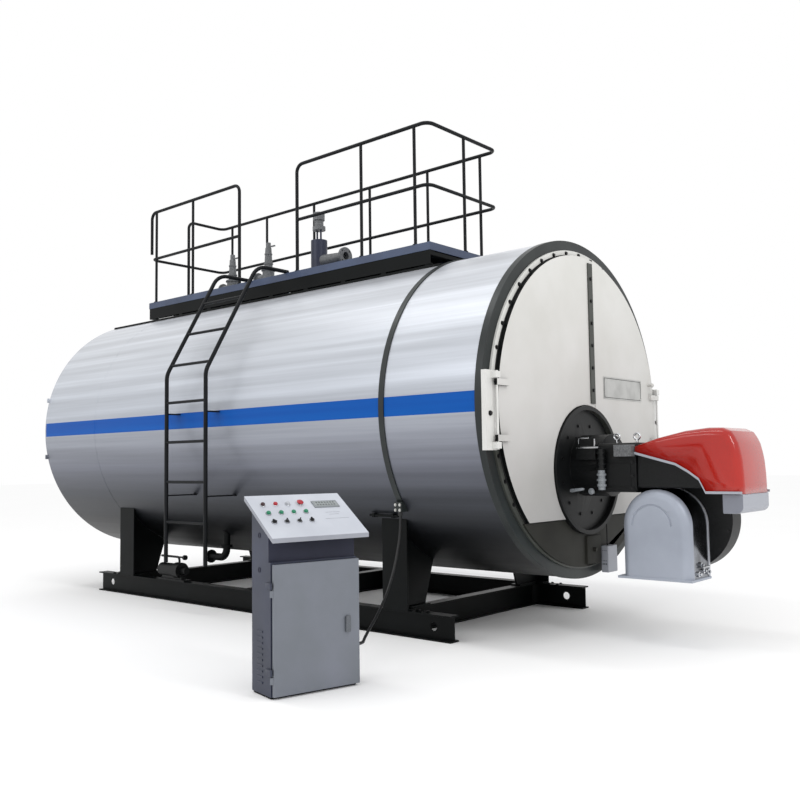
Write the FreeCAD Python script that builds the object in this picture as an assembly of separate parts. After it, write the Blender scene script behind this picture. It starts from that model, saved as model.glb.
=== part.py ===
import FreeCAD, Part
import math
import os

# Packaged fire-tube steam boiler on a skid, with its burner, top walkway, ladder and control cabinet.
# Millimetres, +Z up. X runs along the boiler axis to the burner, -Y is the ladder and cabinet side.
# The origin is on the floor, under the middle cross-beam of the skid.

V = FreeCAD.Vector

# ---- shell ----
shell_radius = 1200.0
shell_rear = -2770.0
shell_front = 2627.0
axis_height = 1580.0
jacket_wall = 60.0
rear_plate = 18.0
ring_depth = 53.0
ring_overhang = 6.0
ring_width = 90.0

# ---- front plate and doors ----
flange_step = 67.0
flange_thickness = 18.0
flange_margin = 40.0
door_gap = 6.0
door_thickness = 28.0
door_drop = 780.0
seam_offset = 128.0
seam_gap = 7.0
strip_width = 62.0
strip_thickness = 10.0
burner_drop = 440.0
rim_outer = 455.0
rim_wall = 30.0
rim_gap = 7.0
hinge_offset = 32.0
hinge_height = 500.0
hinge_drop = 54.0
hinge_stand = 12.0
hinge_pin = 8.0
pin_play = 0.05
lug_half = 20.0
lug_gap = 5.0
lower_thickness = 16.0

# ---- burner ----
burner_width = 480.0
hood_start = 480.0
hood_length = 698.0
hood_wall = 8.0
fan_radius = 335.0
fan_near = 60.0
fan_clearance = 4.0
air_box_width = 468.0
air_box_height = 582.0
air_box_round = 60.0

# ---- skid ----
beam_height = 178.0
beam_flange = 94.0
beam_web = 8.0
beam_skin = 11.0
skid_length = 4376.0
skid_half_width = 924.0
saddle_offset = 1700.0
lifting_hole = 30.0
lifting_inset = 178.0

# ---- walkway ----
deck_clearance = 106.5
deck_plate = 8.0
deck_half_width = 475.0
deck_rear = -2036.0
deck_front = 1702.0
edge_depth = 62.0
frame_depth = 108.0
rail_height = 944.0
mid_rail_height = 455.0
rail_radius = 15.0
mid_rail_radius = 14.0
post_radius = 13.0
rail_bend = 70.0
rail_inset = 18.0
end_bay = 168.0
bearer_inset = 22.0
bearer_half = 18.0
gap_rear = -593.0
gap_front = 200.0

# ---- ladder ----
ladder_centre = -215.0
ladder_width = 534.0
ladder_clearance = 120.0
ladder_foot = 410.0
ladder_rise = 388.0
ladder_landing = 309.0
ladder_overlap = 40.0
stile_bend = 170.0
rung_pitch = 329.0
rung_first = 744.0
stile_radius = 17.0
rung_radius = 12.0

# ---- strap ----
strap_position = 1841.0
strap_width = 46.0
strap_thickness = 8.0
strap_drop = 648.0

# ---- control cabinet ----
cabinet_x = 2354.0
cabinet_y = -2615.0
cabinet_turn = 13.5
cabinet_width = 528.0
cabinet_depth = 240.0
cabinet_door_top = 686.0
cabinet_sheet = 3.0
cabinet_plinth = 10.0
door_back_depth = 18.0
body_front = 24.0
recess_depth = 46.0
console_front = 826.0
console_back = 1036.0
console_slab = 26.0
console_nose = 40.0
console_tail = 52.0
cabinet_hinge_depth = 8.0
cabinet_hinge_side = 6.0
knuckle_height = 34.0
button_radius = 15.0

# ---- valves ----
steam_valve_x = 0.0
front_safety_x = -715.0
rear_safety_x = -1269.0
steam_radius = 76.0
outlet_bore = 36.0
relief_bore = 30.0
gas_bore = 40.0
manhole_radius = 200.0
manhole_cover = 46.0

# ---- cable ----
cable_diameter = 18.0
gland_length = 28.0
gland_radius = 15.0
entry_depth = 180.0
entry_height = 178.0

# ---- derived positions ----
top_of_shell = axis_height + shell_radius
deck_top = top_of_shell + deck_clearance
ring_front = shell_front + ring_depth
plate_front = ring_front + flange_thickness
door_back = plate_front + door_gap
door_front = door_back + door_thickness
burner_height = axis_height - burner_drop
opening_radius = rim_outer + rim_gap
rim_inner = rim_outer - rim_wall
flange_radius = shell_radius - flange_step
door_radius = flange_radius - flange_margin
door_bottom = axis_height - door_drop
hinge_reach = door_radius + hinge_offset
hinge_x = door_front + hinge_stand
lower_front = plate_front + lower_thickness
rail_offset = deck_half_width - rail_inset
rail_top = deck_top + rail_height
rail_mid = deck_top + mid_rail_height
rail_rear = deck_rear + rail_inset
rail_front = deck_front - rail_inset
ladder_standoff = shell_radius + ladder_clearance
ladder_bend = axis_height + ladder_rise
ladder_reach = deck_half_width + ladder_landing
console_slope = (console_back - console_front) / (console_nose + cabinet_depth + console_tail)
manhole_top = deck_top + 24.0 + manhole_cover

os.makedirs("parts", exist_ok=True)


def save(shape, node):
    shape.exportStep("parts/" + node + ".step")
    print(node, "volume", round(shape.Volume / 1e9, 6), "m3, solids", len(shape.Solids))


def box(x0, x1, y0, y1, z0, z1):
    return Part.makeBox(x1 - x0, y1 - y0, z1 - z0, V(x0, y0, z0))


def rod_x(radius, x0, x1, y=0.0, z=axis_height):
    return Part.makeCylinder(radius, x1 - x0, V(x0, y, z), V(1, 0, 0))


def rod_y(radius, y0, y1, x, z):
    return Part.makeCylinder(radius, y1 - y0, V(x, y0, z), V(0, 1, 0))


def rod_z(radius, z0, z1, x, y):
    return Part.makeCylinder(radius, z1 - z0, V(x, y, z0), V(0, 0, 1))


def join(shapes):
    whole = shapes[0]
    for shape in shapes[1:]:
        whole = whole.fuse(shape)
    return whole.removeSplitter()


def mirror_far(shape):
    return shape.mirror(V(0, 0, 0), V(0, 1, 0))


def shell_reach(y):
    # height of the cladding surface above the axis at this distance from the centre plane
    return math.sqrt(shell_radius ** 2 - y ** 2)


def bearer_top():
    return axis_height + shell_reach(deck_half_width - bearer_inset - bearer_half) + 6.0


def bent_wire(points, radius):
    # straight runs joined by tangent arcs of one radius
    edges = []
    last = points[0]
    for here, ahead, behind in zip(points[1:-1], points[2:], points[:-2]):
        back = (behind - here).normalize()
        on = (ahead - here).normalize()
        half = back.getAngle(on) / 2.0
        cut = radius / math.tan(half)
        middle = (back + on).normalize()
        start = here + back * cut
        end = here + on * cut
        through = here + middle * (radius / math.sin(half) - radius)
        edges.append(Part.LineSegment(last, start).toShape())
        edges.append(Part.Arc(start, through, end).toShape())
        last = end
    edges.append(Part.LineSegment(last, points[-1]).toShape())
    return Part.Wire(edges)


def bent_tube(points, radius, bend):
    path = bent_wire(points, bend)
    ring = Part.Wire([Part.makeCircle(radius, points[0], points[1] - points[0])])
    return path.makePipeShell([ring], True, False)


# ---------------------------------------------------------------- shell


def make_shell():
    front = shell_front
    rear = shell_rear + rear_plate
    jacket = rod_x(shell_radius, rear, front)
    return jacket.cut(rod_x(shell_radius - jacket_wall, rear, front))


def make_rear_cover():
    # round inspection cover with a raised centre and a bar handle
    radius = 0.42 * shell_radius
    cover = rod_x(radius, shell_rear - 34.0, shell_rear)
    boss = rod_x(0.62 * radius, shell_rear - 58.0, shell_rear - 34.0)
    return join([cover, boss])


def make_rear_plate():
    # end plate with four small clips on its rim
    pieces = [rod_x(shell_radius, shell_rear, shell_rear + rear_plate)]
    for side in (-1, 1):
        for lift in (0.257, -0.221):
            z = axis_height + lift * shell_radius
            y = side * math.sqrt(shell_radius ** 2 - (lift * shell_radius) ** 2)
            outer = y + side * 20.0
            low = min(y - side * 45.0, outer)
            high = max(y - side * 45.0, outer)
            pieces.append(box(shell_rear - 14.0, shell_rear, low, high, z - 22.0, z + 22.0))
    return join(pieces)


def make_end_ring():
    outer = shell_radius + ring_overhang
    ring = rod_x(outer, shell_front, ring_front)
    return ring.cut(rod_x(outer - ring_width, shell_front, ring_front))


def make_bearers():
    # two flat bars along the top of the cladding that carry the walkway's legs
    bars = []
    for side in (-1, 1):
        y = side * (deck_half_width - bearer_inset)
        bar = box(shell_rear + 70.0, strap_position - strap_width, y - bearer_half, y + bearer_half,
                  bearer_top() - 60.0, bearer_top())
        bars.append(bar.cut(rod_x(shell_radius, shell_rear, shell_front)))
    return Part.makeCompound(bars)


def make_strap():
    # hoop over the cladding, closed low on each side by a clamp block
    inner = shell_radius
    outer = shell_radius + strap_thickness
    low = strap_position - strap_width / 2.0
    high = strap_position + strap_width / 2.0
    drop = strap_drop
    hoop = rod_x(outer, low, high).cut(rod_x(inner, low, high))
    hoop = hoop.cut(box(low - 1, high + 1, -2 * outer, 2 * outer, 0.0, axis_height - drop))
    y = shell_reach(drop)
    z = axis_height - drop
    block = box(strap_position - 34.0, strap_position + 34.0, -y - 34.0, -y + 90.0, z - 62.0, z + 4.0)
    block = block.cut(rod_x(shell_radius, shell_rear, shell_front))
    return join([hoop, block, mirror_far(block)])


def make_side_conduit():
    # short pipe held to the cladding by two cleats
    saddle_top = shell_reach(skid_half_width) - 5.0
    drop = min(0.62 * shell_radius, saddle_top - 16.0)
    z = axis_height - drop
    y = -max(shell_reach(drop), skid_half_width) - 26.0
    x0 = strap_position - 330.0
    pipe = rod_x(9.0, x0, strap_position - 60.0, y, z)
    cleats = []
    for x in (x0 + 40.0, strap_position - 110.0):
        cleat = box(x - 10.0, x + 10.0, y - 12.0, 34.0 - shell_reach(drop), z - 14.0, z + 14.0)
        cleats.append(cleat.cut(rod_x(shell_radius, shell_rear, shell_front)))
    return join([pipe] + cleats)


# ---------------------------------------------------------------- front


def make_front_plate():
    plate = rod_x(flange_radius, ring_front, plate_front)
    return plate.cut(rod_x(rim_inner - 60.0, ring_front, plate_front, 0.0, burner_height))


def door_disc():
    disc = rod_x(door_radius, door_back, door_front)
    disc = disc.cut(rod_x(opening_radius, door_back, door_front, 0.0, burner_height))
    low = box(door_back, door_front, -door_radius, door_radius, 0.0, door_bottom + door_gap)
    return disc.cut(low)


def hinge_lugs(side, raised):
    # two lugs with a pin hole; the doors' own pair sits just inside the fixed pair
    lugs = []
    for end in (-1, 1):
        z = axis_height - hinge_drop + end * (hinge_height / 2.0 - 30.0)
        if raised:
            z = z - end * (2.0 * lug_half + lug_gap)
            lug = box(door_front, hinge_x + 12.0, -hinge_reach - 14.0, 90.0 - door_radius,
                      z - lug_half, z + lug_half)
            hole = hinge_pin + pin_play
        else:
            lug = box(door_back, hinge_x + 14.0, -hinge_reach - 24.0, -hinge_reach + 20.0,
                      z - lug_half, z + lug_half)
            hole = hinge_pin
        lug = lug.cut(rod_z(hole, z - 2.0 * lug_half, z + 2.0 * lug_half, hinge_x, -hinge_reach))
        lugs.append(lug if side < 0 else mirror_far(lug))
    return lugs


def make_leaf(side):
    if side < 0:
        keep = box(door_back, door_front, -door_radius, seam_offset, 0.0, 2 * axis_height)
    else:
        keep = box(door_back, door_front, seam_offset + seam_gap, door_radius, 0.0, 2 * axis_height)
    leaf = door_disc().common(keep)
    extra = [make_door_knob()] if side > 0 else []
    return join([leaf] + extra + hinge_lugs(side, True))


def make_hinge(side):
    # cover block beside the door's edge, two lugs and the pin between them
    middle = axis_height - hinge_drop
    half = hinge_height / 2.0
    block = box(ring_front, plate_front + 18.0, -shell_radius - 4.0, -door_radius - 7.0,
                middle - half, middle + half)
    block = block.cut(rod_x(flange_radius, ring_front - 1.0, plate_front))
    block = block.cut(rod_x(door_radius + 6.0, ring_front - 1.0, door_front + 50.0))
    pin = rod_z(hinge_pin, middle - half + 4.0, middle + half - 4.0, hinge_x, -hinge_reach)
    if side > 0:
        block = mirror_far(block)
        pin = mirror_far(pin)
    return join([block, pin] + hinge_lugs(side, False))


def make_seam_strip():
    # upright cover strip on the near leaf's free edge
    high = axis_height + math.sqrt(door_radius ** 2 - seam_offset ** 2) - 24.0
    low = burner_height + opening_radius + 12.0
    edge = seam_offset - 1.0
    return box(door_front, door_front + strip_thickness, edge - strip_width, edge, low, high)


def make_nameplate():
    # bare plate on the far leaf
    return box(door_front, door_front + 3.0, seam_offset + 134.0, 0.798 * door_radius,
               axis_height + 78.0, axis_height + 246.0)


def make_door_knob():
    y = 0.915 * door_radius
    z = axis_height + 216.0
    stem = rod_x(9.0, door_front, door_front + 26.0, y, z)
    ball = Part.makeSphere(17.0, V(door_front + 34.0, y, z))
    return join([stem, ball])


def make_lower_plate():
    # fixed segment under the doors, bolted to the front plate
    plate = rod_x(lower_radius(), plate_front, lower_front)
    keep = box(plate_front, lower_front, -shell_radius, shell_radius, 0.0, door_bottom)
    plate = plate.common(keep)
    plate = plate.cut(rod_x(rim_outer, plate_front, lower_front, 0.0, burner_height))
    return join([plate, make_hatch()])


def lower_radius():
    return flange_radius - 12.0


def make_hatch():
    # square inspection cover between the burner's rim and the lower plate's edge
    high = burner_height - rim_outer
    low = axis_height - lower_radius()
    middle = (high + low) / 2.0
    half = 0.44 * (high - low)
    cover = box(lower_front, lower_front + 14.0, 70.0 - half, 70.0 + half, middle - half, middle + half)
    knob = rod_x(16.0, lower_front + 14.0, lower_front + 34.0, 70.0, middle)
    return join([cover, knob])


# ---------------------------------------------------------------- burner


def make_burner_rim():
    deep = door_front + 16.0
    ring = rod_x(rim_outer, plate_front, deep, 0.0, burner_height)
    return ring.cut(rod_x(rim_inner, plate_front, deep, 0.0, burner_height))


def hood_profile():
    # side outline from the rear lower corner, over the top, down the nose and back under
    x = ring_front + hood_start + 51.0
    z = burner_height
    s = hood_length / 698.0
    return [
        V(x, 0, z + 102.0),
        V(x, 0, z + 156.0),
        V(x + 150.0 * s, 0, z + 203.0),
        V(x + 340.0 * s, 0, z + 246.0),
        V(x + 545.0 * s, 0, z + 262.0),
        V(x + 630.0 * s, 0, z + 238.0),
        V(x + 668.0 * s, 0, z + 160.0),
        V(x + 690.0 * s, 0, z + 50.0),
        V(x + 698.0 * s, 0, z - 100.0),
        V(x + 698.0 * s, 0, z - 152.0),
        V(x + 470.0 * s, 0, z - 152.0),
        V(x + 430.0 * s, 0, z - 70.0),
        V(x + 364.0 * s, 0, z - 22.0),
        V(x + 280.0 * s, 0, z + 26.0),
        V(x + 160.0 * s, 0, z + 58.0),
    ]


def prism_y(points, y0, y1):
    face = Part.Face(Part.makePolygon([V(p.x, y0, p.z) for p in points] + [V(points[0].x, y0, points[0].z)]))
    return face.extrude(V(0, y1 - y0, 0))


def make_hood():
    # sheet cover, open underneath, over the fan and the burner's neck
    half = burner_width / 2.0
    points = hood_profile()
    solid = prism_y(points, -half, half)
    upper = points[1:10]
    nose = points[9]
    low = burner_height - 400.0
    w = hood_wall
    inside = [V(points[0].x + w, 0, low), V(points[0].x + w, 0, upper[0].z - w)]
    for p in upper[1:-3]:
        inside.append(V(p.x, 0, p.z - w - 2.0))
    inside.append(V(points[7].x - w - 2.0, 0, points[7].z))
    inside.append(V(nose.x - w - 2.0, 0, nose.z - 10.0))
    inside.append(V(nose.x - w - 2.0, 0, low))
    return solid.cut(prism_y(inside, -half + w, half - w))


def make_hood_trim():
    # narrow edging along the lower edge of both side sheets
    points = hood_profile()
    lower = [points[0], points[14], points[13], points[12], points[11], points[10], points[9]]
    raised = [V(p.x, 0, p.z + 16.0) for p in lower]
    outline = lower + raised[::-1]
    half = burner_width / 2.0
    strip = prism_y(outline, -half - 5.0, -half)
    return Part.makeCompound([strip, mirror_far(strip)])


def make_hood_nose():
    # pale moulding under the front end of the hood
    points = hood_profile()
    end = points[9]
    half = burner_width / 2.0 - 14.0
    body = box(end.x - 130.0, end.x - 2.0, -half, half, end.z - 120.0, end.z)
    edges = [e for e in body.Edges if e.BoundBox.XMin > end.x - 3.0 and e.BoundBox.ZMax < end.z - 119.0]
    x, z = fan_centre()
    drum = rod_y(fan_radius + fan_clearance, fan_near - fan_clearance, burner_width, x, z)
    return body.makeFillet(45.0, edges).cut(drum)


def make_burner_body():
    # round mounting plate, neck, head block, flat duct under the hood and gas stub on the far side
    start = plate_front + 14.0
    plate = rod_x(rim_inner, plate_front, start, 0.0, burner_height)
    hood_rear = hood_profile()[0].x
    half = burner_width / 2.0 - 20.0
    neck = rod_x(215.0, start, hood_rear - 280.0, 0.0, burner_height + 30.0)
    head = box(hood_rear - 280.0, hood_rear, -half, half, burner_height - 150.0, burner_height + 180.0)
    lips = [e for e in head.Edges if e.BoundBox.YLength < 1.0 and e.BoundBox.ZLength < 1.0]
    head = head.makeFillet(36.0, lips)
    duct = box(hood_rear, hood_rear + 390.0, -half + 30.0, fan_near, burner_height - 120.0, burner_height + 20.0)
    x, z = fan_centre()
    head = head.cut(rod_y(fan_radius + fan_clearance, fan_near - fan_clearance, half + 40.0, x, z))
    return join([plate, neck, head, duct, make_gas_inlet()])


def fan_centre():
    x = hood_profile()[0].x + 184.0
    return x, burner_height - 325.0


def make_fan_casing():
    x, z = fan_centre()
    inside = burner_width / 2.0 - hood_wall - 2.0
    drum = rod_y(fan_radius, fan_near, inside - 20.0, x, z)
    rim = rod_y(fan_radius - 40.0, inside - 20.0, inside, x, z)
    return join([drum, rim])


def make_air_box():
    # arched silencer box: near edges well rounded, half-ring groove in its face, rear rim and base plate
    x, z = fan_centre()
    half = air_box_width / 2.0
    left = x - half - 62.0
    right = left + air_box_width
    centre = (left + right) / 2.0
    low = burner_height - 710.0
    spring = low + air_box_height - half
    near = -burner_width / 2.0
    deep = fan_near
    body = join([box(left, right, near, deep, low, spring), rod_y(half, near, deep, centre, spring)])
    edges = [e for e in body.Edges if e.BoundBox.YMax < near + 0.01 and e.BoundBox.ZMax > low + 0.01]
    body = body.makeFillet(air_box_round, edges)
    rim = join([box(left - 6.0, right + 6.0, deep - 20.0, deep, low, spring),
                rod_y(half + 6.0, deep - 20.0, deep, centre, spring)])
    base = box(left - 30.0, right + 12.0, near - 6.0, deep, low, low + 16.0)
    ring = rod_y(138.0, near, near + 6.0, centre - 20.0, spring)
    ring = ring.cut(rod_y(128.0, near, near + 6.0, centre - 20.0, spring))
    groove = ring.common(box(left, right, near, near + 6.0, spring, spring + half))
    return join([body, rim, base]).cut(groove)


def make_junction_box():
    hood_rear = hood_profile()[0].x
    near = -(burner_width / 2.0 - 20.0)
    z = burner_height
    return box(hood_rear - 128.0, hood_rear - 2.0, near - 62.0, near, z + 88.0, z + 166.0)


def make_actuator():
    # upright ribbed cylinder beside the burner's neck
    hood_rear = hood_profile()[0].x
    near = -(burner_width / 2.0 - 20.0)
    x = hood_rear - 236.0
    y = near - 34.0
    z = burner_height
    parts = [rod_z(24.0, z - 134.0, z + 142.0, x, y)]
    for step in range(7):
        level = z - 110.0 + step * 36.0
        parts.append(rod_z(31.0, level, level + 14.0, x, y))
    parts.append(box(x - 12.0, x + 12.0, y, near, z + 20.0, z + 60.0))
    return join(parts)


def make_burner_bracket():
    # bright angle plate above the actuator
    near = -(burner_width / 2.0 - 20.0)
    z = burner_height
    x0 = hood_profile()[0].x - 280.0
    lug = box(x0 - 30.0, x0, near - 24.0, near + 14.0, z + 96.0, z + 176.0)
    face = box(x0 - 150.0, x0, near - 30.0, near - 24.0, z + 70.0, z + 226.0)
    return join([lug, face])


def make_eye_bolts():
    hood_rear = hood_profile()[0].x
    top = burner_height + 180.0
    eyes = []
    for step in (60.0, 210.0):
        x = hood_rear - step
        stem = rod_z(9.0, top, top + 24.0, x, -70.0)
        ring = Part.makeTorus(21.0, 7.0, V(x, -70.0, top + 44.0), V(0, 1, 0))
        eyes.append(join([stem, ring]))
    return eyes


def make_gas_inlet():
    # flanged gas stub on the far side of the head block
    hood_rear = hood_profile()[0].x
    near = burner_width / 2.0 - 20.0
    x = hood_rear - 150.0
    z = burner_height + 20.0
    pipe = rod_y(48.0, near, near + 120.0, x, z)
    flange = rod_y(84.0, near + 100.0, near + 120.0, x, z)
    stub = join([pipe, flange])
    return stub.cut(rod_y(gas_bore, near + 20.0, near + 130.0, x, z))


def make_drain_box():
    # small pale box on the lower plate
    side = 190.0
    low = axis_height - 0.985 * shell_radius
    under_rim = burner_height - math.sqrt(rim_outer ** 2 - side ** 2) - 10.0
    return box(lower_front, lower_front + 56.0, side, side + 140.0, low, min(low + 190.0, under_rim))


# ---------------------------------------------------------------- skid


def beam_x(x0, x1, y):
    half = beam_flange / 2.0
    web = box(x0, x1, y - beam_web / 2.0, y + beam_web / 2.0, 0.0, beam_height)
    foot = box(x0, x1, y - half, y + half, 0.0, beam_skin)
    head = box(x0, x1, y - half, y + half, beam_height - beam_skin, beam_height)
    return join([web, foot, head])


def make_long_beam(side):
    y = side * (skid_half_width - beam_flange / 2.0)
    half = skid_length / 2.0
    beam = beam_x(-half, half, y)
    for end in (-1, 1):
        x = end * (half - lifting_inset)
        beam = beam.cut(rod_y(lifting_hole, y - 30.0, y + 30.0, x, beam_height / 2.0))
    return beam


def make_cross_beam(x):
    inner = skid_half_width - beam_flange
    half = beam_flange / 2.0
    web = box(x - beam_web / 2.0, x + beam_web / 2.0, -inner, inner, 0.0, beam_height)
    foot = box(x - half, x + half, -inner, inner, 0.0, beam_skin)
    head = box(x - half, x + half, -inner, inner, beam_height - beam_skin, beam_height)
    return join([web, foot, head])


def make_saddle(x):
    # a near and a far leg: upright web across the boiler, end plate outside, foot plate below
    shell = rod_x(shell_radius, shell_rear, shell_front)
    outer = skid_half_width
    inner_foot = 0.645 * skid_half_width
    inner_top = 0.54 * skid_half_width
    top = axis_height - shell_reach(outer) + 5.0
    level = beam_height + 12.0
    inner_z = axis_height - shell_reach(inner_top)
    outline = [V(x - 8, -outer + 12, level), V(x - 8, -inner_foot, level), V(x - 8, -inner_top, inner_z + 2),
               V(x - 8, -inner_top, axis_height - 2), V(x - 8, -outer + 12, axis_height - 2)]
    web = Part.Face(Part.makePolygon(outline + [outline[0]])).extrude(V(16, 0, 0))
    end = box(x - 116.0, x + 116.0, -outer, -outer + 12.0, level, top)
    foot = box(x - 116.0, x + 116.0, -outer, -outer + beam_flange, beam_height, level)
    sill = box(x - beam_flange / 2.0, x + beam_flange / 2.0, -outer + beam_flange, -inner_foot + 10.0,
               beam_height, level)
    leg = join([web, end, foot, sill]).cut(shell)
    leg = max(leg.Solids, key=lambda s: s.Volume)
    return Part.makeCompound([leg, mirror_far(leg)])


def make_feed_pump():
    # small horizontal pump with its motor on the near beam
    y = -(skid_half_width - beam_flange / 2.0)
    z = beam_height
    foot = box(-1200.0, -800.0, y - 40.0, y + 40.0, z, z + 14.0)
    stand = box(-1150.0, -860.0, y - 24.0, y + 24.0, z + 14.0, z + 50.0)
    motor = rod_x(58.0, -1180.0, -960.0, y, z + 92.0)
    pump = rod_x(70.0, -960.0, -880.0, y, z + 92.0)
    nose = rod_x(30.0, -880.0, -810.0, y, z + 92.0)
    return join([foot, stand, motor, pump, nose])


def make_feed_pipe():
    # thin pipe up from the pump and along the skid, with a round knob at its end
    y = -(skid_half_width - beam_flange / 2.0)
    z = beam_height + 92.0
    run = bent_tube([V(-920.0, y, z + 68.0), V(-920.0, y, z + 118.0), V(-1190.0, y, z + 118.0)], 10.0, 30.0)
    stub = rod_x(8.0, -920.0, -850.0, y, z + 118.0)
    knob = rod_x(22.0, -850.0, -826.0, y, z + 118.0)
    return join([run, stub, knob])


def make_drain():
    # blow-down pipe from under the shell, turned to the rear, with an end flange
    y = -700.0
    top = axis_height - shell_reach(y)
    low = 395.0
    x = -470.0
    run = bent_tube([V(x, y, top + 60.0), V(x, y, low), V(x - 210.0, y, low)], 32.0, 80.0)
    collar = rod_z(52.0, top - 120.0, top - 100.0, x, y)
    flange = rod_x(58.0, x - 226.0, x - 210.0, y, low)
    whole = join([run, collar, flange])
    return whole.cut(rod_x(shell_radius, shell_rear, shell_front))


# ---------------------------------------------------------------- walkway


def deck_holes():
    # openings in the deck for the three valve necks
    return [(steam_valve_x, 100.0), (front_safety_x, manhole_radius + 14.0), (rear_safety_x, 80.0)]


def make_deck():
    inset = 6.0
    plate = box(deck_rear + inset, deck_front - inset, -deck_half_width + inset, deck_half_width - inset,
                deck_top - deck_plate, deck_top)
    for x, radius in deck_holes():
        plate = plate.cut(rod_z(radius, deck_top - 60.0, deck_top + 20.0, x, 0.0))
    return plate


def perimeter(depth_top, depth_bottom, thickness, inset):
    x0 = deck_rear + inset
    x1 = deck_front - inset
    y = deck_half_width - inset
    z0 = deck_top - depth_bottom
    z1 = deck_top - depth_top
    outer = box(x0, x1, -y, y, z0, z1)
    inner = box(x0 + thickness, x1 - thickness, -y + thickness, y - thickness, z0, z1)
    return outer.cut(inner)


def make_deck_edge():
    # perimeter channel: an upright face all round with a ledge that carries the plate
    face = perimeter(0.0, edge_depth, 6.0, 0.0)
    ledge = perimeter(deck_plate, deck_plate + 6.0, 60.0, 6.0)
    return join([face, ledge])


def make_deck_frame():
    # two deep channels under the long edges, on short pads over the bearers
    frame_low = deck_top - edge_depth - frame_depth
    frame_top = deck_top - edge_depth
    outer = deck_half_width - 4.0
    centre = deck_half_width - bearer_inset
    web = box(deck_rear + 4.0, deck_front - 4.0, outer - 8.0, outer, frame_low, frame_top)
    head = box(deck_rear + 4.0, deck_front - 4.0, outer - 50.0, outer, frame_top - 8.0, frame_top)
    foot = box(deck_rear + 4.0, deck_front - 4.0, centre - bearer_half, outer, frame_low, frame_low + 8.0)
    pieces = [web, head, foot]
    count = 9
    for step in range(count):
        x = deck_rear + 90.0 + (strap_position - deck_rear - 260.0) * step / (count - 1)
        pieces.append(box(x - 26.0, x + 26.0, centre - bearer_half + 2.0, centre + bearer_half - 2.0,
                          bearer_top(), frame_low))
    far = join(pieces)
    return Part.makeCompound([mirror_far(far), far])


def make_deck_members():
    # cross members between the two channels, clear of the valve necks
    inner = deck_half_width - 12.0
    members = []
    count = 6
    for step in range(count + 1):
        x = deck_rear + 30.0 + (deck_front - deck_rear - 60.0) * step / count
        if abs(x - steam_valve_x) < 130.0 or abs(x - front_safety_x) < 240.0:
            continue
        low = top_of_shell + 8.0
        high = deck_top - edge_depth - 8.0
        members.append(box(x - 25.0, x + 25.0, -inner, inner, low, high))
    return Part.makeCompound(members)


def near_posts():
    # full posts along the near side, one beside the ladder gap's rear and two in front of it
    last = rail_front - 0.82 * end_bay
    return [gap_rear + 0.505 * (rail_rear - gap_rear), gap_front + 0.575 * (last - gap_front), last]


def far_posts():
    first = rail_rear + end_bay
    span = rail_front - end_bay - first
    return [first + share * span for share in (0.0, 0.173, 0.388, 0.616, 0.827, 1.0)]


def corner_post_x():
    # near side's rearmost post, just ahead of the middle rail's corner bend
    return rail_rear + rail_bend + post_radius


def elbow(corner, one, other, radius):
    # quarter bend of a rail about a corner, between two directions
    middle = corner + (one + other) * rail_bend
    through = middle - (one + other) * (rail_bend / math.sqrt(2.0))
    start = corner + one * rail_bend
    path = Part.Wire([Part.Arc(start, through, corner + other * rail_bend).toShape()])
    ring = Part.Wire([Part.makeCircle(radius, start, one)])
    return path.makePipeShell([ring], True, False)


def make_rail_posts():
    # uprights from the deck to the underside of the rail above them
    y = rail_offset
    under_top = rail_top - rail_radius
    under_bend = rail_top - rail_bend
    posts = [rod_z(post_radius, deck_top, under_top, x, -y) for x in near_posts()]
    posts += [rod_z(post_radius, deck_top, under_top, x, y) for x in far_posts()]
    posts.append(rod_z(post_radius, deck_top, under_top, rail_front, 0.0))
    posts.append(rod_z(rail_radius, deck_top, under_bend, rail_rear, 0.0))
    posts.append(rod_z(rail_radius, deck_top, under_bend, gap_front, -y))
    posts.append(rod_z(rail_radius, deck_top, under_bend, gap_rear, -y))
    posts.append(rod_z(rail_radius, rail_mid + 4.0 * mid_rail_radius, under_bend, rail_rear, -y))
    posts.append(rod_z(post_radius, deck_top, under_top, corner_post_x(), -y))
    return Part.makeCompound(posts)


def bars_between(stops, build):
    # straight bars between neighbouring stops, each stop given as (position, half width)
    bars = []
    for here, ahead in zip(stops[:-1], stops[1:]):
        bars.append(build(here[0] + here[1], ahead[0] - ahead[1]))
    return bars


def make_rail_bars():
    # straight lengths: the top rails between bends, the middle rails between posts
    y = rail_offset
    bend = rail_bend
    big = rail_radius
    small = mid_rail_radius
    bars = [
        rod_x(big, gap_front + bend, rail_front - bend, -y, rail_top),
        rod_x(big, rail_rear + bend, gap_rear - bend, -y, rail_top),
        rod_x(big, rail_rear + bend, rail_front - bend, y, rail_top),
        rod_y(big, bend - y, y - bend, rail_front, rail_top),
        rod_y(big, bend, y - bend, rail_rear, rail_top),
    ]
    rear_post, middle_post, front_post = near_posts()
    rear_stops = [(corner_post_x(), post_radius), (rear_post, post_radius), (gap_rear, big)]
    front_stops = [(gap_front, big), (middle_post, post_radius), (front_post, post_radius), (rail_front, bend)]
    far_stops = [(rail_rear, bend)] + [(x, post_radius) for x in far_posts()] + [(rail_front, bend)]
    for stops, side in ((rear_stops, -y), (front_stops, -y), (far_stops, y)):
        bars += bars_between(stops, lambda low, high: rod_x(small, low, high, side, rail_mid))
    for x, half in ((rail_front, post_radius), (rail_rear, big)):
        stops = [(-y, bend), (0.0, half), (y, bend)]
        bars += bars_between(stops, lambda low, high: rod_y(small, low, high, x, rail_mid))
    return Part.makeCompound(bars)


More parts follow.
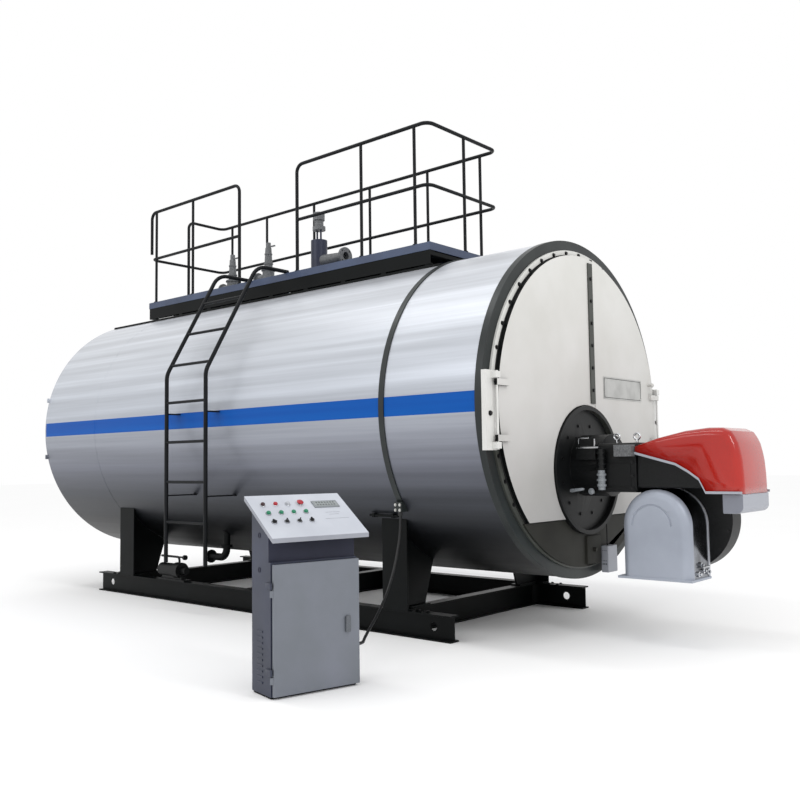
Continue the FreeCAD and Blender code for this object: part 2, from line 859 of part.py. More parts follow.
def make_rail_elbows():
    # bends at the deck's corners and at the free ends of the top rail
    y = rail_offset
    fore = V(1, 0, 0)
    aft = V(-1, 0, 0)
    near = V(0, -1, 0)
    far = V(0, 1, 0)
    down = V(0, 0, -1)
    bends = [
        elbow(V(gap_front, -y, rail_top), fore, down, rail_radius),
        elbow(V(gap_rear, -y, rail_top), aft, down, rail_radius),
        elbow(V(rail_rear, -y, rail_top), fore, down, rail_radius),
        elbow(V(rail_rear, 0.0, rail_top), far, down, rail_radius),
        elbow(V(rail_front, -y, rail_top), aft, far, rail_radius),
        elbow(V(rail_front, y, rail_top), aft, near, rail_radius),
        elbow(V(rail_rear, y, rail_top), fore, near, rail_radius),
        elbow(V(rail_front, -y, rail_mid), aft, far, mid_rail_radius),
        elbow(V(rail_front, y, rail_mid), aft, near, mid_rail_radius),
        elbow(V(rail_rear, y, rail_mid), fore, near, mid_rail_radius),
        elbow(V(rail_rear, -y, rail_mid), fore, far, mid_rail_radius),
    ]
    return Part.makeCompound(bends)


# ---------------------------------------------------------------- ladder


def ladder_path(x):
    top = deck_top + stile_radius
    return [
        V(x, -ladder_standoff, ladder_foot),
        V(x, -ladder_standoff, ladder_bend),
        V(x, -ladder_reach, top),
        V(x, ladder_overlap - deck_half_width, top),
    ]


def stile_positions():
    half = ladder_width / 2.0
    return ladder_centre - half, ladder_centre + half


def make_stiles():
    # upright tubes that lean in over the shell and end flat on the deck
    return Part.makeCompound([bent_tube(ladder_path(x), stile_radius, stile_bend) for x in stile_positions()])


def make_rungs():
    # bars between the stiles at one pitch along their line
    x0, x1 = stile_positions()
    rise = deck_top + stile_radius - ladder_bend
    run = ladder_standoff - ladder_reach
    slope = math.hypot(rise, run)
    straight = ladder_bend - ladder_foot
    travel = rung_first - ladder_foot
    rungs = []
    while travel < straight + slope - 150.0:
        y = -ladder_standoff
        z = ladder_foot + travel
        if travel > straight:
            part = (travel - straight) / slope
            y += run * part
            z = ladder_bend + rise * part
        if abs(travel - straight) < 60.0:
            y += 6.0
        rungs.append(rod_x(rung_radius, x0 + stile_radius, x1 - stile_radius, y, z))
        travel += rung_pitch
    return Part.makeCompound(rungs)


def make_ladder_arms():
    # flat arms from the cladding to the back of the stiles
    shell = rod_x(shell_radius, shell_rear, shell_front)
    arms = []
    for z in (axis_height - 620.0, axis_height + 60.0):
        for x in stile_positions():
            arm = box(x - 25.0, x + 25.0, stile_radius - ladder_standoff, 700.0 - shell_radius, z - 5.0, z + 5.0)
            arms.append(arm.cut(shell))
    return Part.makeCompound(arms)


# ---------------------------------------------------------------- valves


def make_safety_valve(x, base):
    # round body with a side outlet to the rear, long bonnet and test lever
    flange = rod_z(74.0, base, base + 18.0, x, 0.0)
    body = rod_z(58.0, base + 18.0, base + 140.0, x, 0.0)
    cap = rod_z(66.0, base + 140.0, base + 158.0, x, 0.0)
    bonnet = Part.makeCone(42.0, 30.0, 210.0, V(x, 0.0, base + 158.0))
    crown = rod_z(24.0, base + 368.0, base + 420.0, x, 0.0)
    outlet = rod_x(40.0, x - 140.0, x, 0.0, base + 78.0)
    rim = rod_x(64.0, x - 156.0, x - 140.0, 0.0, base + 78.0)
    lever = box(x - 6.0, x + 96.0, -7.0, 7.0, base + 372.0, base + 384.0)
    whole = join([flange, body, cap, bonnet, crown, outlet, rim, lever])
    return whole.cut(rod_x(relief_bore, x - 160.0, x - 70.0, 0.0, base + 78.0))


def make_valve_neck(x, base):
    # neck from the shell up through the deck
    neck = rod_z(44.0, top_of_shell - 60.0, base, x, 0.0)
    return neck.cut(rod_x(shell_radius, shell_rear, shell_front))


def make_manhole():
    # round pad and cover that carry the front safety valve
    base = manhole_top - manhole_cover
    ring = rod_z(manhole_radius, top_of_shell - 60.0, base, front_safety_x, 0.0)
    cover = rod_z(manhole_radius + 6.0, base, manhole_top, front_safety_x, 0.0)
    ring = ring.cut(rod_x(shell_radius, shell_rear, shell_front))
    return join([ring, cover])


def make_steam_valve():
    x = steam_valve_x
    neck = rod_z(60.0, top_of_shell - 60.0, deck_top + 20.0, x, 0.0)
    flange = rod_z(92.0, deck_top + 20.0, deck_top + 40.0, x, 0.0)
    body = rod_z(steam_radius, deck_top + 40.0, deck_top + 386.0, x, 0.0)
    whole = join([neck, flange, body] + steam_head())
    return whole.cut(rod_x(shell_radius, shell_rear, shell_front))


def make_steam_outlet():
    # side branch of the steam valve with its bolted flange
    x = steam_valve_x
    z = deck_top + 188.0
    cone = Part.makeCone(56.0, 44.0, 210.0, V(x + 60.0, 0.0, z), V(1, 0, 0))
    pipe = rod_x(44.0, x + 270.0, x + 326.0, 0.0, z)
    flange = rod_x(80.0, x + 326.0, x + 348.0, 0.0, z)
    whole = join([cone, pipe, flange])
    whole = whole.cut(rod_x(outlet_bore, x + 120.0, x + 360.0, 0.0, z))
    for step in range(4):
        turn = math.radians(45.0 + 90.0 * step)
        hole = rod_x(8.0, x + 320.0, x + 350.0, 61.0 * math.cos(turn), z + 61.0 * math.sin(turn))
        whole = whole.cut(hole)
    return whole.cut(rod_z(steam_radius, z - 200.0, z + 200.0, x, 0.0))


def steam_head():
    # two pillars and the operating head above the valve
    x = steam_valve_x
    base = deck_top + 386.0
    parts = []
    for side in (-1, 1):
        parts.append(rod_z(9.0, base, base + 96.0, x + 24.0 * side, 0.0))
    parts.append(rod_z(60.0, base + 96.0, base + 132.0, x, 0.0))
    parts.append(rod_z(42.0, base + 132.0, base + 190.0, x, 0.0))
    parts.append(rod_z(54.0, base + 190.0, base + 262.0, x, 0.0))
    return parts


# ---------------------------------------------------------------- cabinet


def place_cabinet(shape):
    # the cabinet is drawn with its front lower near corner at the origin: X into it, Y along its front
    turn = FreeCAD.Rotation(V(0, 0, 1), -cabinet_turn)
    placed = shape.copy()
    placed.Placement = FreeCAD.Placement(V(cabinet_x, cabinet_y, 0), turn).multiply(shape.Placement)
    return placed


def cab_box(depth0, depth1, along0, along1, z0, z1):
    return box(-depth1, -depth0, along0, along1, z0, z1)


def cab_prism(outline, along0, along1):
    points = [V(-d, along0, z) for d, z in outline]
    return Part.Face(Part.makePolygon(points + [points[0]])).extrude(V(0, along1 - along0, 0))


def console_under(depth):
    return console_front - console_slab + (depth + console_nose) * console_slope


def make_cabinet_body():
    w = cabinet_width
    foot = cabinet_plinth
    head = cabinet_door_top + 10.0
    outline = [(body_front, foot), (body_front, head), (recess_depth, head),
               (recess_depth, console_under(recess_depth)), (cabinet_depth, console_under(cabinet_depth)),
               (cabinet_depth, foot)]
    body = cab_prism(outline, 0.0, w)
    t = cabinet_sheet
    hollow = cab_box(body_front - 1.0, cabinet_depth - t, t, w - t, foot + t, cabinet_door_top + 4.0)
    body = body.cut(hollow)
    frame = cab_box(body_front, body_front + t, t, w - t, foot + t, cabinet_door_top + 4.0)
    frame = frame.cut(cab_box(body_front, body_front + t, 28.0, w - 28.0, 60.0, cabinet_door_top - 26.0))
    body = join([body, frame])
    knuckles = []
    for z in door_knuckles():
        low = z + knuckle_height + 6.0
        arm = cab_box(cabinet_hinge_depth, 60.0, -2.0 * cabinet_hinge_side, 0.0, low, low + knuckle_height)
        knuckles.append(join([arm, knuckle_barrel(low)]))
    plinth = cab_box(30.0, cabinet_depth - 6.0, 6.0, w - 6.0, 0.0, foot)
    return place_cabinet(join([body, plinth] + knuckles))


def door_knuckles():
    return 80.0, 520.0


def knuckle_barrel(low):
    return rod_z(cabinet_hinge_side, low, low + knuckle_height, -cabinet_hinge_depth, -cabinet_hinge_side)


def make_cabinet_door():
    w = cabinet_width
    panel = cab_box(0.0, door_back_depth, 6.0, w, 14.0, cabinet_door_top)
    inside = cab_box(2.5, door_back_depth, 8.5, w - 2.5, 16.5, cabinet_door_top - 2.5)
    panel = panel.cut(inside)
    parts = [panel]
    side = cabinet_hinge_side
    for z in door_knuckles():
        parts.append(cab_box(cabinet_hinge_depth - side, cabinet_hinge_depth + side, -side, side,
                             z, z + knuckle_height))
        parts.append(knuckle_barrel(z))
    parts.append(cabinet_handle())
    return place_cabinet(join(parts))


def cabinet_handle():
    along = cabinet_width - 92.0
    body = cab_box(-14.0, 0.0, along, along + 30.0, 296.0, 384.0)
    edges = [e for e in body.Edges if e.BoundBox.XLength > 13.0]
    return body.makeFillet(8.0, edges)


def make_console():
    slab = console_slab
    tail = cabinet_depth + console_tail
    outline = [(-console_nose, console_front - slab), (-console_nose, console_front), (tail, console_back),
               (tail, console_back - slab)]
    return place_cabinet(cab_prism(outline, -22.0, cabinet_width + 44.0))


def console_spot(depth, along, height):
    # a point above the sloping top
    z = console_front + (depth + console_nose) * console_slope
    tilt = math.atan(console_slope)
    return V(-depth + height * math.sin(tilt), along, z + height * math.cos(tilt))


def console_normal():
    tilt = math.atan(console_slope)
    return V(math.sin(tilt), 0.0, math.cos(tilt))


def make_controls():
    # three rows of four push buttons and selectors, and the display beside them
    buttons = [make_display()]
    for row in range(3):
        for step in range(4):
            depth = cabinet_depth - 28.0 - 68.0 * row
            along = 50.0 + (cabinet_width / 3.0 - 100.0) * step
            foot = console_spot(depth, along, 0.0)
            buttons.append(Part.makeCylinder(button_radius, 16.0, foot, console_normal()))
    return place_cabinet(Part.makeCompound(buttons))


def make_display():
    tilt = math.degrees(math.atan(console_slope))
    spot = console_spot(cabinet_depth - 40.0, cabinet_width - 93.0, 0.0)
    face = Part.makeBox(62.0, 162.0, 7.0, V(-31.0, -81.0, 0.0))
    face.Placement = FreeCAD.Placement(spot, FreeCAD.Rotation(V(0, 1, 0), tilt))
    return face


# ---------------------------------------------------------------- cable


def cabinet_point(depth, along, z):
    turn = math.radians(-cabinet_turn)
    x = -depth * math.cos(turn) - along * math.sin(turn)
    y = -depth * math.sin(turn) + along * math.cos(turn)
    return V(cabinet_x + x, cabinet_y + y, z)


def cable_start():
    y = -shell_reach(strap_drop) - 16.0
    return V(strap_position + 9.0, y, axis_height - strap_drop - 62.0 - gland_length)


def make_shell_gland():
    # the cable's gland under the strap's clamp block
    start = cable_start()
    return rod_z(gland_radius, start.z, start.z + gland_length, start.x, start.y)


def cable_entry():
    # where the cable's gland stands on the cabinet's side, and the direction out of it
    face = cabinet_point(entry_depth, cabinet_width, entry_height)
    out = (cabinet_point(entry_depth, cabinet_width + 1.0, entry_height) - face).normalize()
    return face, out


def make_cabinet_gland():
    face, out = cable_entry()
    return Part.makeCylinder(gland_radius, gland_length, face, out)


def cable_points():
    start = cable_start()
    face, out = cable_entry()
    end = face + out * gland_length
    drop = start.z - end.z
    lean = end - start
    return [
        start,
        start + V(0.0, 0.0, -0.12 * drop),
        start + V(6.0, -34.0, -0.33 * drop),
        start + V(22.0, -110.0, -0.575 * drop),
        start + V(72.0, -240.0, -0.77 * drop),
        start + V(0.335 * lean.x, 0.41 * lean.y, -0.905 * drop),
        start + V(0.56 * lean.x, 0.60 * lean.y, -0.985 * drop),
        start + V(0.83 * lean.x, 0.775 * lean.y, -1.01 * drop),
        end + out * 110.0,
        end,
    ]


def make_cable():
    points = cable_points()
    edges = []
    last = points[0]
    for here, ahead, behind in zip(points[1:-1], points[2:], points[:-2]):
        back = behind - here
        on = ahead - here
        shorter = min(back.Length, on.Length)
        back = back.normalize()
        on = on.normalize()
        half = back.getAngle(on) / 2.0
        cut = 0.45 * shorter
        radius = cut * math.tan(half)
        middle = (back + on).normalize()
        start = here + back * cut
        end = here + on * cut
        through = here + middle * (radius / math.sin(half) - radius)
        edges.append(Part.LineSegment(last, start).toShape())
        edges.append(Part.Arc(start, through, end).toShape())
        print("cable bend radius", round(radius, 1))
        last = end
    edges.append(Part.LineSegment(last, points[-1]).toShape())
    path = Part.Wire(edges)
    print("cable length", round(path.Length, 1))
    ring = Part.Wire([Part.makeCircle(cable_diameter / 2.0, points[0], points[1] - points[0])])
    for point in points:
        print("cable point", round(point.x, 1), round(point.y, 1), round(point.z, 1))
    return path.makePipeShell([ring], True, False)


# ---------------------------------------------------------------- output

save(make_shell(), "shell_cladding")
save(make_rear_plate(), "rear_plate")
save(make_rear_cover(), "rear_cover")
save(make_end_ring(), "end_ring")
save(make_bearers(), "top_bearers")
save(make_strap(), "strap_band")
save(make_side_conduit(), "side_conduit")
save(make_front_plate(), "front_plate")
save(make_leaf(-1), "door_near")
save(make_leaf(1), "door_far")
save(Part.makeCompound([make_hinge(-1), make_hinge(1)]), "door_hinges")
save(make_seam_strip(), "door_strip")
save(make_nameplate(), "nameplate")
save(make_lower_plate(), "lower_plate")
save(make_burner_rim(), "burner_rim")
save(make_burner_body(), "burner_body")
save(make_hood(), "burner_hood")
save(make_hood_trim(), "hood_trim")
save(make_hood_nose(), "hood_nose")
save(make_fan_casing(), "fan_casing")
save(make_air_box(), "air_box")
save(Part.makeCompound([make_junction_box(), make_actuator()]), "burner_controls")
save(make_burner_bracket(), "burner_bracket")
save(Part.makeCompound(make_eye_bolts()), "lifting_eyes")
save(make_drain_box(), "level_box")
save(Part.makeCompound([make_long_beam(-1), make_long_beam(1)]), "long_beams")
save(Part.makeCompound([make_cross_beam(x) for x in (-saddle_offset, 0.0, saddle_offset)]), "cross_beams")
save(Part.makeCompound([make_saddle(-saddle_offset), make_saddle(saddle_offset)]), "saddles")
save(join([make_feed_pump(), make_feed_pipe()]), "feed_pump")
save(make_drain(), "drain_pipe")
save(make_deck(), "deck_plate")
save(make_deck_edge(), "deck_edge")
save(make_deck_frame(), "deck_frame")
save(make_deck_members(), "deck_members")
save(make_rail_posts(), "railing_posts")
save(make_rail_bars(), "railing_bars")
save(make_rail_elbows(), "railing_elbows")
save(make_stiles(), "ladder_stiles")
save(make_rungs(), "ladder_rungs")
save(make_ladder_arms(), "ladder_arms")
rear_base = deck_top + 40.0
save(join([make_safety_valve(rear_safety_x, rear_base), make_valve_neck(rear_safety_x, rear_base)]),
     "safety_valve_rear")
save(make_manhole(), "manhole")
save(make_safety_valve(front_safety_x, manhole_top), "safety_valve_front")
save(make_steam_valve(), "steam_valve")
save(make_steam_outlet(), "steam_outlet")
save(make_cabinet_body(), "cabinet_body")
save(make_cabinet_door(), "cabinet_door")
save(make_console(), "cabinet_console")
save(make_controls(), "cabinet_controls")
save(Part.makeCompound([make_shell_gland(), make_cabinet_gland()]), "cable_glands")
save(make_cable(), "control_cable")
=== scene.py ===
import math
import bmesh
import bpy
from mathutils import Matrix, Vector


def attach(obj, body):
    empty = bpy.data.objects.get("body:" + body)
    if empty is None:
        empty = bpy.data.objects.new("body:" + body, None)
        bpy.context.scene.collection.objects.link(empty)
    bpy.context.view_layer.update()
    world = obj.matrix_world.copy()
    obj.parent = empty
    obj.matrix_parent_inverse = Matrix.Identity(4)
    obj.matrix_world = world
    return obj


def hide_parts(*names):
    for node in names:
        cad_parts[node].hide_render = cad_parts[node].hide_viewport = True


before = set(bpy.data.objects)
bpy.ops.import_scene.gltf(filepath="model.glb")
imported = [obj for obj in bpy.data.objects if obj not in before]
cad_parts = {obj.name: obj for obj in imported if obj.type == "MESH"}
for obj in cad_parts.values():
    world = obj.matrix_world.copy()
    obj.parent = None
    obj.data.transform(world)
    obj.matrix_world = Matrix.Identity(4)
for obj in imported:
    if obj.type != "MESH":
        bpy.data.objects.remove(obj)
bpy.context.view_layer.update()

# Packaged steam boiler on a skid. Metres: +Z up, +X along it to the burner, -Y the ladder side.
scene = bpy.context.scene
wayX, wayY, wayZ = Vector((1.0, 0.0, 0.0)), Vector((0.0, 1.0, 0.0)), Vector((0.0, 0.0, 1.0))


# camera: stands in front of the burner's near corner, a little under the boiler's axis
cameraView = {"place": (5.9188, -5.7005, 1.2022), "yaw": 40.97, "pitch": 4.05, "roll": -0.76,
              "lens": 40.28, "sensor": 36.0, "farClip": 200.0}


def addCamera(view):
    yaw, pitch, roll = (math.radians(view[key]) for key in ("yaw", "pitch", "roll"))
    ahead = Vector((-math.sin(yaw) * math.cos(pitch), math.cos(yaw) * math.cos(pitch),
                    math.sin(pitch)))
    level = Vector((math.cos(yaw), math.sin(yaw), 0.0))
    over = level.cross(ahead)
    right = math.cos(roll) * level + math.sin(roll) * over
    up = math.cos(roll) * over - math.sin(roll) * level
    data = bpy.data.cameras.new("camera")
    data.lens = view["lens"]
    data.sensor_width = view["sensor"]
    data.clip_end = view["farClip"]
    camera = bpy.data.objects.new("camera", data)
    scene.collection.objects.link(camera)
    turn = Matrix((right, up, -ahead)).transposed().to_4x4()
    camera.matrix_world = Matrix.Translation(view["place"]) @ turn
    scene.camera = camera


addCamera(cameraView)
print("camera placed")


# materials

def toLinear(hexColour):
    # undoes the sRGB curve, channel by channel
    channels = [int(hexColour[i:i + 2], 16) / 255.0 for i in (1, 3, 5)]
    return [c / 12.92 if c <= 0.04045 else ((c + 0.055) / 1.055) ** 2.4 for c in channels] + [1.0]


def addNode(tree, kind, settings=None, links=None):
    # settings are input values, properties or a colour ramp's stops; links are sources by input
    node = tree.nodes.new(kind)
    for key, value in (settings or {}).items():
        if key == "stops":
            elements = node.color_ramp.elements
            while len(elements) < len(value):
                elements.new(0.5)
            for element, (place, colour) in zip(elements, value):
                element.position = place
                element.color = toLinear(colour)
        elif isinstance(key, int) or key in node.inputs:
            node.inputs[key].default_value = value
        else:
            setattr(node, key, value)
    for key, source in (links or {}).items():
        tree.links.new(source, node.inputs[key])
    return node


def newMaterial(name, **constants):
    # returns the material, its tree, its shader and the place on the piece that patterns follow
    material = bpy.data.materials.new(name)
    material.use_nodes = True
    tree = material.node_tree
    shader = tree.nodes["Principled BSDF"]
    for key, value in constants.items():
        shader.inputs[key.replace("_", " ")].default_value = value
    return material, tree, shader, addNode(tree, "ShaderNodeTexCoord").outputs["Object"]


def connect(tree, shader, **sources):
    for key, source in sources.items():
        tree.links.new(source, shader.inputs[key.replace("_", " ")])


def mottle(tree, place, scale, detail, stops):
    # noise over the piece and the colour that follows it
    noise = addNode(tree, "ShaderNodeTexNoise", {"Scale": scale, "Detail": detail},
                    {"Vector": place})
    tint = addNode(tree, "ShaderNodeValToRGB", {"stops": stops}, {"Fac": noise.outputs["Fac"]})
    return noise.outputs["Fac"], tint.outputs["Color"]


def finish(tree, shader, colour, height, strength, distance, rough=None, **others):
    # joins colour, bump and roughness to the shader; rough is (source, least, most)
    bump = addNode(tree, "ShaderNodeBump", {"Strength": strength, "Distance": distance},
                   {"Height": height})
    if rough:
        source, least, most = rough
        spread = addNode(tree, "ShaderNodeMapRange", {"To Min": least, "To Max": most},
                         {"Value": source})
        others["Roughness"] = spread.outputs["Result"]
    connect(tree, shader, Base_Color=colour, Normal=bump.outputs["Normal"], **others)


def paintedSteel(name, base, shade, roughness, peelMm, lift=0.12, coat=0.0, metallic=0.0,
                 shine=0.5):
    # sprayed enamel on steel: even colour that drifts a little, fine orange peel, dull patches
    material, tree, shader, place = newMaterial(name, Metallic=metallic, Coat_Weight=coat,
                                                Coat_Roughness=0.06, Specular_IOR_Level=shine)
    tint = mottle(tree, place, 3.0, 4.0, [(0.3, shade), (0.7, base)])[1]
    dull, peel = (addNode(tree, "ShaderNodeTexNoise", {"Scale": scale, "Detail": detail},
                          {"Vector": place}).outputs["Fac"]
                  for scale, detail in ((9.0, 3.0), (1000.0 / peelMm, 2.0)))
    finish(tree, shader, tint, peel, lift, 0.0006, (dull, roughness - 0.05, roughness + 0.08))
    return material


# the enamelled band stops short of the rear plate
stripe = {"low": 1.518, "high": 1.651, "rear": -2.7525}


def coatedCladding():
    # satin aluminium sheet rolled round the shell: long soft streaks along it, a blue band, and
    # painted shade darkening it toward the underside
    material, tree, shader, place = newMaterial("coatedAluminiumCladding")
    axes = addNode(tree, "ShaderNodeSeparateXYZ", links={"Vector": place})
    height = addNode(tree, "ShaderNodeMapRange", {"From Min": 0.38, "From Max": 2.78},
                     {"Value": axes.outputs["Z"]})
    # painted shade: the sheet's colour grows darker toward the underside, which only sees the skid
    shade = addNode(tree, "ShaderNodeValToRGB",
                    {"stops": [(0.0, "#0c0d0e"), (0.12, "#1b1d20"), (0.24, "#45484f"),
                               (0.34, "#747782"), (0.46, "#a3a7b1"), (0.56, "#c3c8d1"),
                               (0.75, "#cfd3da"), (1.0, "#d7dae0")]},
                    {"Fac": height.outputs["Result"]})
    long = addNode(tree, "ShaderNodeMapping", {"Scale": (0.12, 7.0, 7.0)}, {"Vector": place})
    streak = addNode(tree, "ShaderNodeTexNoise", {"Scale": 1.6, "Detail": 5.0, "Roughness": 0.6},
                     {"Vector": long.outputs["Vector"]})
    fine = addNode(tree, "ShaderNodeMapping", {"Scale": (2.0, 160.0, 160.0)},
                   {"Vector": place})  # rolling lines 6 mm apart
    grain = addNode(tree, "ShaderNodeTexNoise", {"Scale": 1.0, "Detail": 2.0},
                    {"Vector": fine.outputs["Vector"]})
    light = addNode(tree, "ShaderNodeValToRGB",
                    {"stops": [(0.30, "#d8d8d8"), (0.5, "#ececec"), (0.68, "#ffffff")]},
                    {"Fac": streak.outputs["Fac"]})
    sheet = addNode(tree, "ShaderNodeMix", {"data_type": "RGBA", "blend_type": "MULTIPLY", 0: 1.0},
                    {6: shade.outputs["Color"], 7: light.outputs["Color"]})
    limits = [addNode(tree, "ShaderNodeMath", {"operation": test, 1: stripe[edge]},
                      {0: axes.outputs[axis]}).outputs[0]
              for test, edge, axis in (("GREATER_THAN", "low", "Z"), ("LESS_THAN", "high", "Z"),
                                       ("GREATER_THAN", "rear", "X"))]
    level = addNode(tree, "ShaderNodeMath", {"operation": "MULTIPLY"},
                    {0: limits[0], 1: limits[1]})
    band = addNode(tree, "ShaderNodeMath", {"operation": "MULTIPLY"},
                   {0: level.outputs[0], 1: limits[2]}).outputs[0]
    blue = addNode(tree, "ShaderNodeValToRGB", {"stops": [(0.3, "#05489a"), (0.7, "#0855a8")]},
                   {"Fac": streak.outputs["Fac"]})
    colour = addNode(tree, "ShaderNodeMix", {"data_type": "RGBA"},
                     {0: band, 6: sheet.outputs[2], 7: blue.outputs["Color"]})
    bare = addNode(tree, "ShaderNodeMapRange", {"To Min": 0.55, "To Max": 0.0}, {"Value": band})
    sheen = addNode(tree, "ShaderNodeMapRange", {"To Min": 0.5, "To Max": 0.12}, {"Value": band})
    waves = addNode(tree, "ShaderNodeMath", {"operation": "MULTIPLY_ADD", 1: 0.15},
                    {0: grain.outputs["Fac"], 2: streak.outputs["Fac"]})
    finish(tree, shader, colour.outputs[2], waves.outputs[0], 0.25, 0.004,
           (streak.outputs["Fac"], 0.30, 0.46), Metallic=bare.outputs["Result"],
           Specular_IOR_Level=sheen.outputs["Result"])
    return material


def doorEnamel():
    # cream enamel on the two big leaves: painted shade makes it greyer toward the bottom, faint
    # orange peel
    material, tree, shader, place = newMaterial("creamDoorEnamel", Roughness=0.42,
                                                Specular_IOR_Level=0.3)
    axes = addNode(tree, "ShaderNodeSeparateXYZ", links={"Vector": place})
    height = addNode(tree, "ShaderNodeMapRange", {"From Min": 0.8, "From Max": 2.6},
                     {"Value": axes.outputs["Z"]})
    # painted shade: the cream darkens toward the bottom of the leaves
    paintedShade = addNode(tree, "ShaderNodeValToRGB",
                   {"stops": [(0.0, "#acabaa"), (0.45, "#cccbc9"), (1.0, "#d9d9d6")]},
                   {"Fac": height.outputs["Result"]})
    patch = mottle(tree, place, 2.5, 4.0, [(0.3, "#f4f4f2"), (0.7, "#ffffff")])[1]
    colour = addNode(tree, "ShaderNodeMix", {"data_type": "RGBA", "blend_type": "MULTIPLY", 0: 1.0},
                     {6: paintedShade.outputs["Color"], 7: patch})
    peel = addNode(tree, "ShaderNodeTexNoise", {"Scale": 60.0, "Detail": 2.0}, {"Vector": place})
    finish(tree, shader, colour.outputs[2], peel.outputs["Fac"], 0.06, 0.0006)
    return material


def flangeEnamel():
    # cream enamel above the hinges, dark olive below them as painted shade where the flange faces
    # the ground
    material, tree, shader, place = newMaterial("flangeEnamelPaintedShade", Roughness=0.42)
    axes = addNode(tree, "ShaderNodeSeparateXYZ", links={"Vector": place})
    # painted shade: every face below this height takes the dark olive
    upper = addNode(tree, "ShaderNodeMath", {"operation": "GREATER_THAN", 1: 1.30},
                    {0: axes.outputs["Z"]})
    paintedShadeOlive, cream = (mottle(tree, place, 4.0, 4.0, [(0.3, dark), (0.7, pale)])[1]
                    for dark, pale in (("#3a3c38", "#4c4f4a"), ("#d0d0cc", "#dededa")))
    colour = addNode(tree, "ShaderNodeMix", {"data_type": "RGBA"},
                     {0: upper.outputs[0], 6: paintedShadeOlive, 7: cream})
    connect(tree, shader, Base_Color=colour.outputs[2])
    return material


def brushedStainless(name, base, shade, roughness, lineMm):
    # stainless or zinced steel with fine brushed lines along X and soft dents
    material, tree, shader, place = newMaterial(name, Metallic=1.0)
    lines = addNode(tree, "ShaderNodeMapping", {"Scale": (4.0, 1000.0 / lineMm, 1000.0 / lineMm)},
                    {"Vector": place})
    grain = addNode(tree, "ShaderNodeTexNoise", {"Scale": 1.0, "Detail": 3.0},
                    {"Vector": lines.outputs["Vector"]})
    waves, tint = mottle(tree, place, 7.0, 3.0, [(0.32, shade), (0.62, base)])
    finish(tree, shader, tint, waves, 0.35, 0.006,
           (grain.outputs["Fac"], roughness - 0.08, roughness + 0.10))
    return material


def castIron(name, base, shade, roughness, gritMm, shine=0.5):
    # painted or blacked sand casting: pebbled skin, worn highlights
    material, tree, shader, place = newMaterial(name, Specular_IOR_Level=shine)
    grit, tint = mottle(tree, place, 1000.0 / gritMm, 4.0, [(0.35, shade), (0.7, base)])
    finish(tree, shader, tint, grit, 0.5, 0.001, (grit, roughness - 0.1, roughness + 0.15))
    return material


def mouldedPlastic(name, base, shade, roughness, gritMm=2.0):
    # injection-moulded housing or knob: even colour, faint spark-eroded grain
    material, tree, shader, place = newMaterial(name, IOR=1.49, Roughness=roughness)
    grit, tint = mottle(tree, place, 1000.0 / gritMm, 2.0, [(0.35, shade), (0.7, base)])
    finish(tree, shader, tint, grit, 0.2, 0.0003)
    return material


cladding = coatedCladding()
flangePaint = flangeEnamel()
creamEnamel = doorEnamel()
# sprayed plate: name, colour, its darker drift, roughness, orange peel in mm
blackEnamel = paintedSteel("blackGlossEnamel", "#0c0f10", "#070909", 0.38, 14.0, shine=0.1)
ringEnamel = paintedSteel("charcoalHoopEnamel", "#2b302f", "#1e2223", 0.34, 14.0, shine=0.3)
railEnamel = paintedSteel("blackTubeEnamel", "#15171a", "#0f1113", 0.42, 9.0, lift=0.02,
                          shine=0.15)
whiteEnamel = paintedSteel("whiteHingeEnamel", "#dcdcda", "#d0d0cc", 0.38, 16.0)
stripEnamel = paintedSteel("darkOliveStripEnamel", "#484a46", "#3c3e3a", 0.45, 12.0, shine=0.3)
oliveEnamel = paintedSteel("oliveDrabPlateEnamel", "#2f2f2b", "#252522", 0.5, 12.0, shine=0.15)
deckEnamel = paintedSteel("blueGreyDeckEnamel", "#3c4a66", "#2d3850", 0.40, 12.0)
valveEnamel = paintedSteel("blueGreyValveEnamel", "#252b43", "#1a1f30", 0.38, 8.0, metallic=0.2)
paleBlue = paintedSteel("paleBlueCoverEnamel", "#7f98b4", "#66809e", 0.42, 10.0)
redGloss = paintedSteel("redHoodLacquer", "#aa1a0a", "#9a1208", 0.2, 40.0, lift=0.04, coat=0.5,
                        shine=0.35)
cabinetFront = paintedSteel("greyCabinetPowderCoat", "#767a84", "#6b7077", 0.45, 5.0,
                            metallic=0.15)
cabinetSide = paintedSteel("slateCabinetPowderCoat", "#2f354a", "#272c3b", 0.45, 5.0,
                           metallic=0.1)
cabinetTop = paintedSteel("paleConsolePowderCoat", "#c4c8d0", "#b6bac3", 0.45, 5.0)
consoleLip = paintedSteel("consoleLipPowderCoat", "#9a9da6", "#8b8e97", 0.45, 5.0)
recessPaint = paintedSteel("darkRecessPowderCoat", "#2e3040", "#262835", 0.5, 5.0, shine=0.2)
boxPaint = paintedSteel("silverAirBoxEnamel", "#a4aab6", "#969ca8", 0.42, 12.0, metallic=0.25)
rimPaint = paintedSteel("paleRimEnamel", "#b8bbc2", "#a6a9b0", 0.4, 10.0)
# castings and blacked bolts: name, colour, its pits, roughness, grit in mm
castGrey = castIron("greyCastSteel", "#75777a", "#4a4c4d", 0.45, 7.0)
castBlack = castIron("blackCastIron", "#131516", "#08090a", 0.40, 8.0, 0.25)
actuatorSilver = castIron("dullSilverCasting", "#9a9fa4", "#6e7377", 0.35, 5.0)
lockGrey = castIron("greyLockCasting", "#666a70", "#4b4f55", 0.4, 4.0)
boltBlack = castIron("blackedBoltSteel", "#17181a", "#0a0a0b", 0.4, 4.0, 0.3)
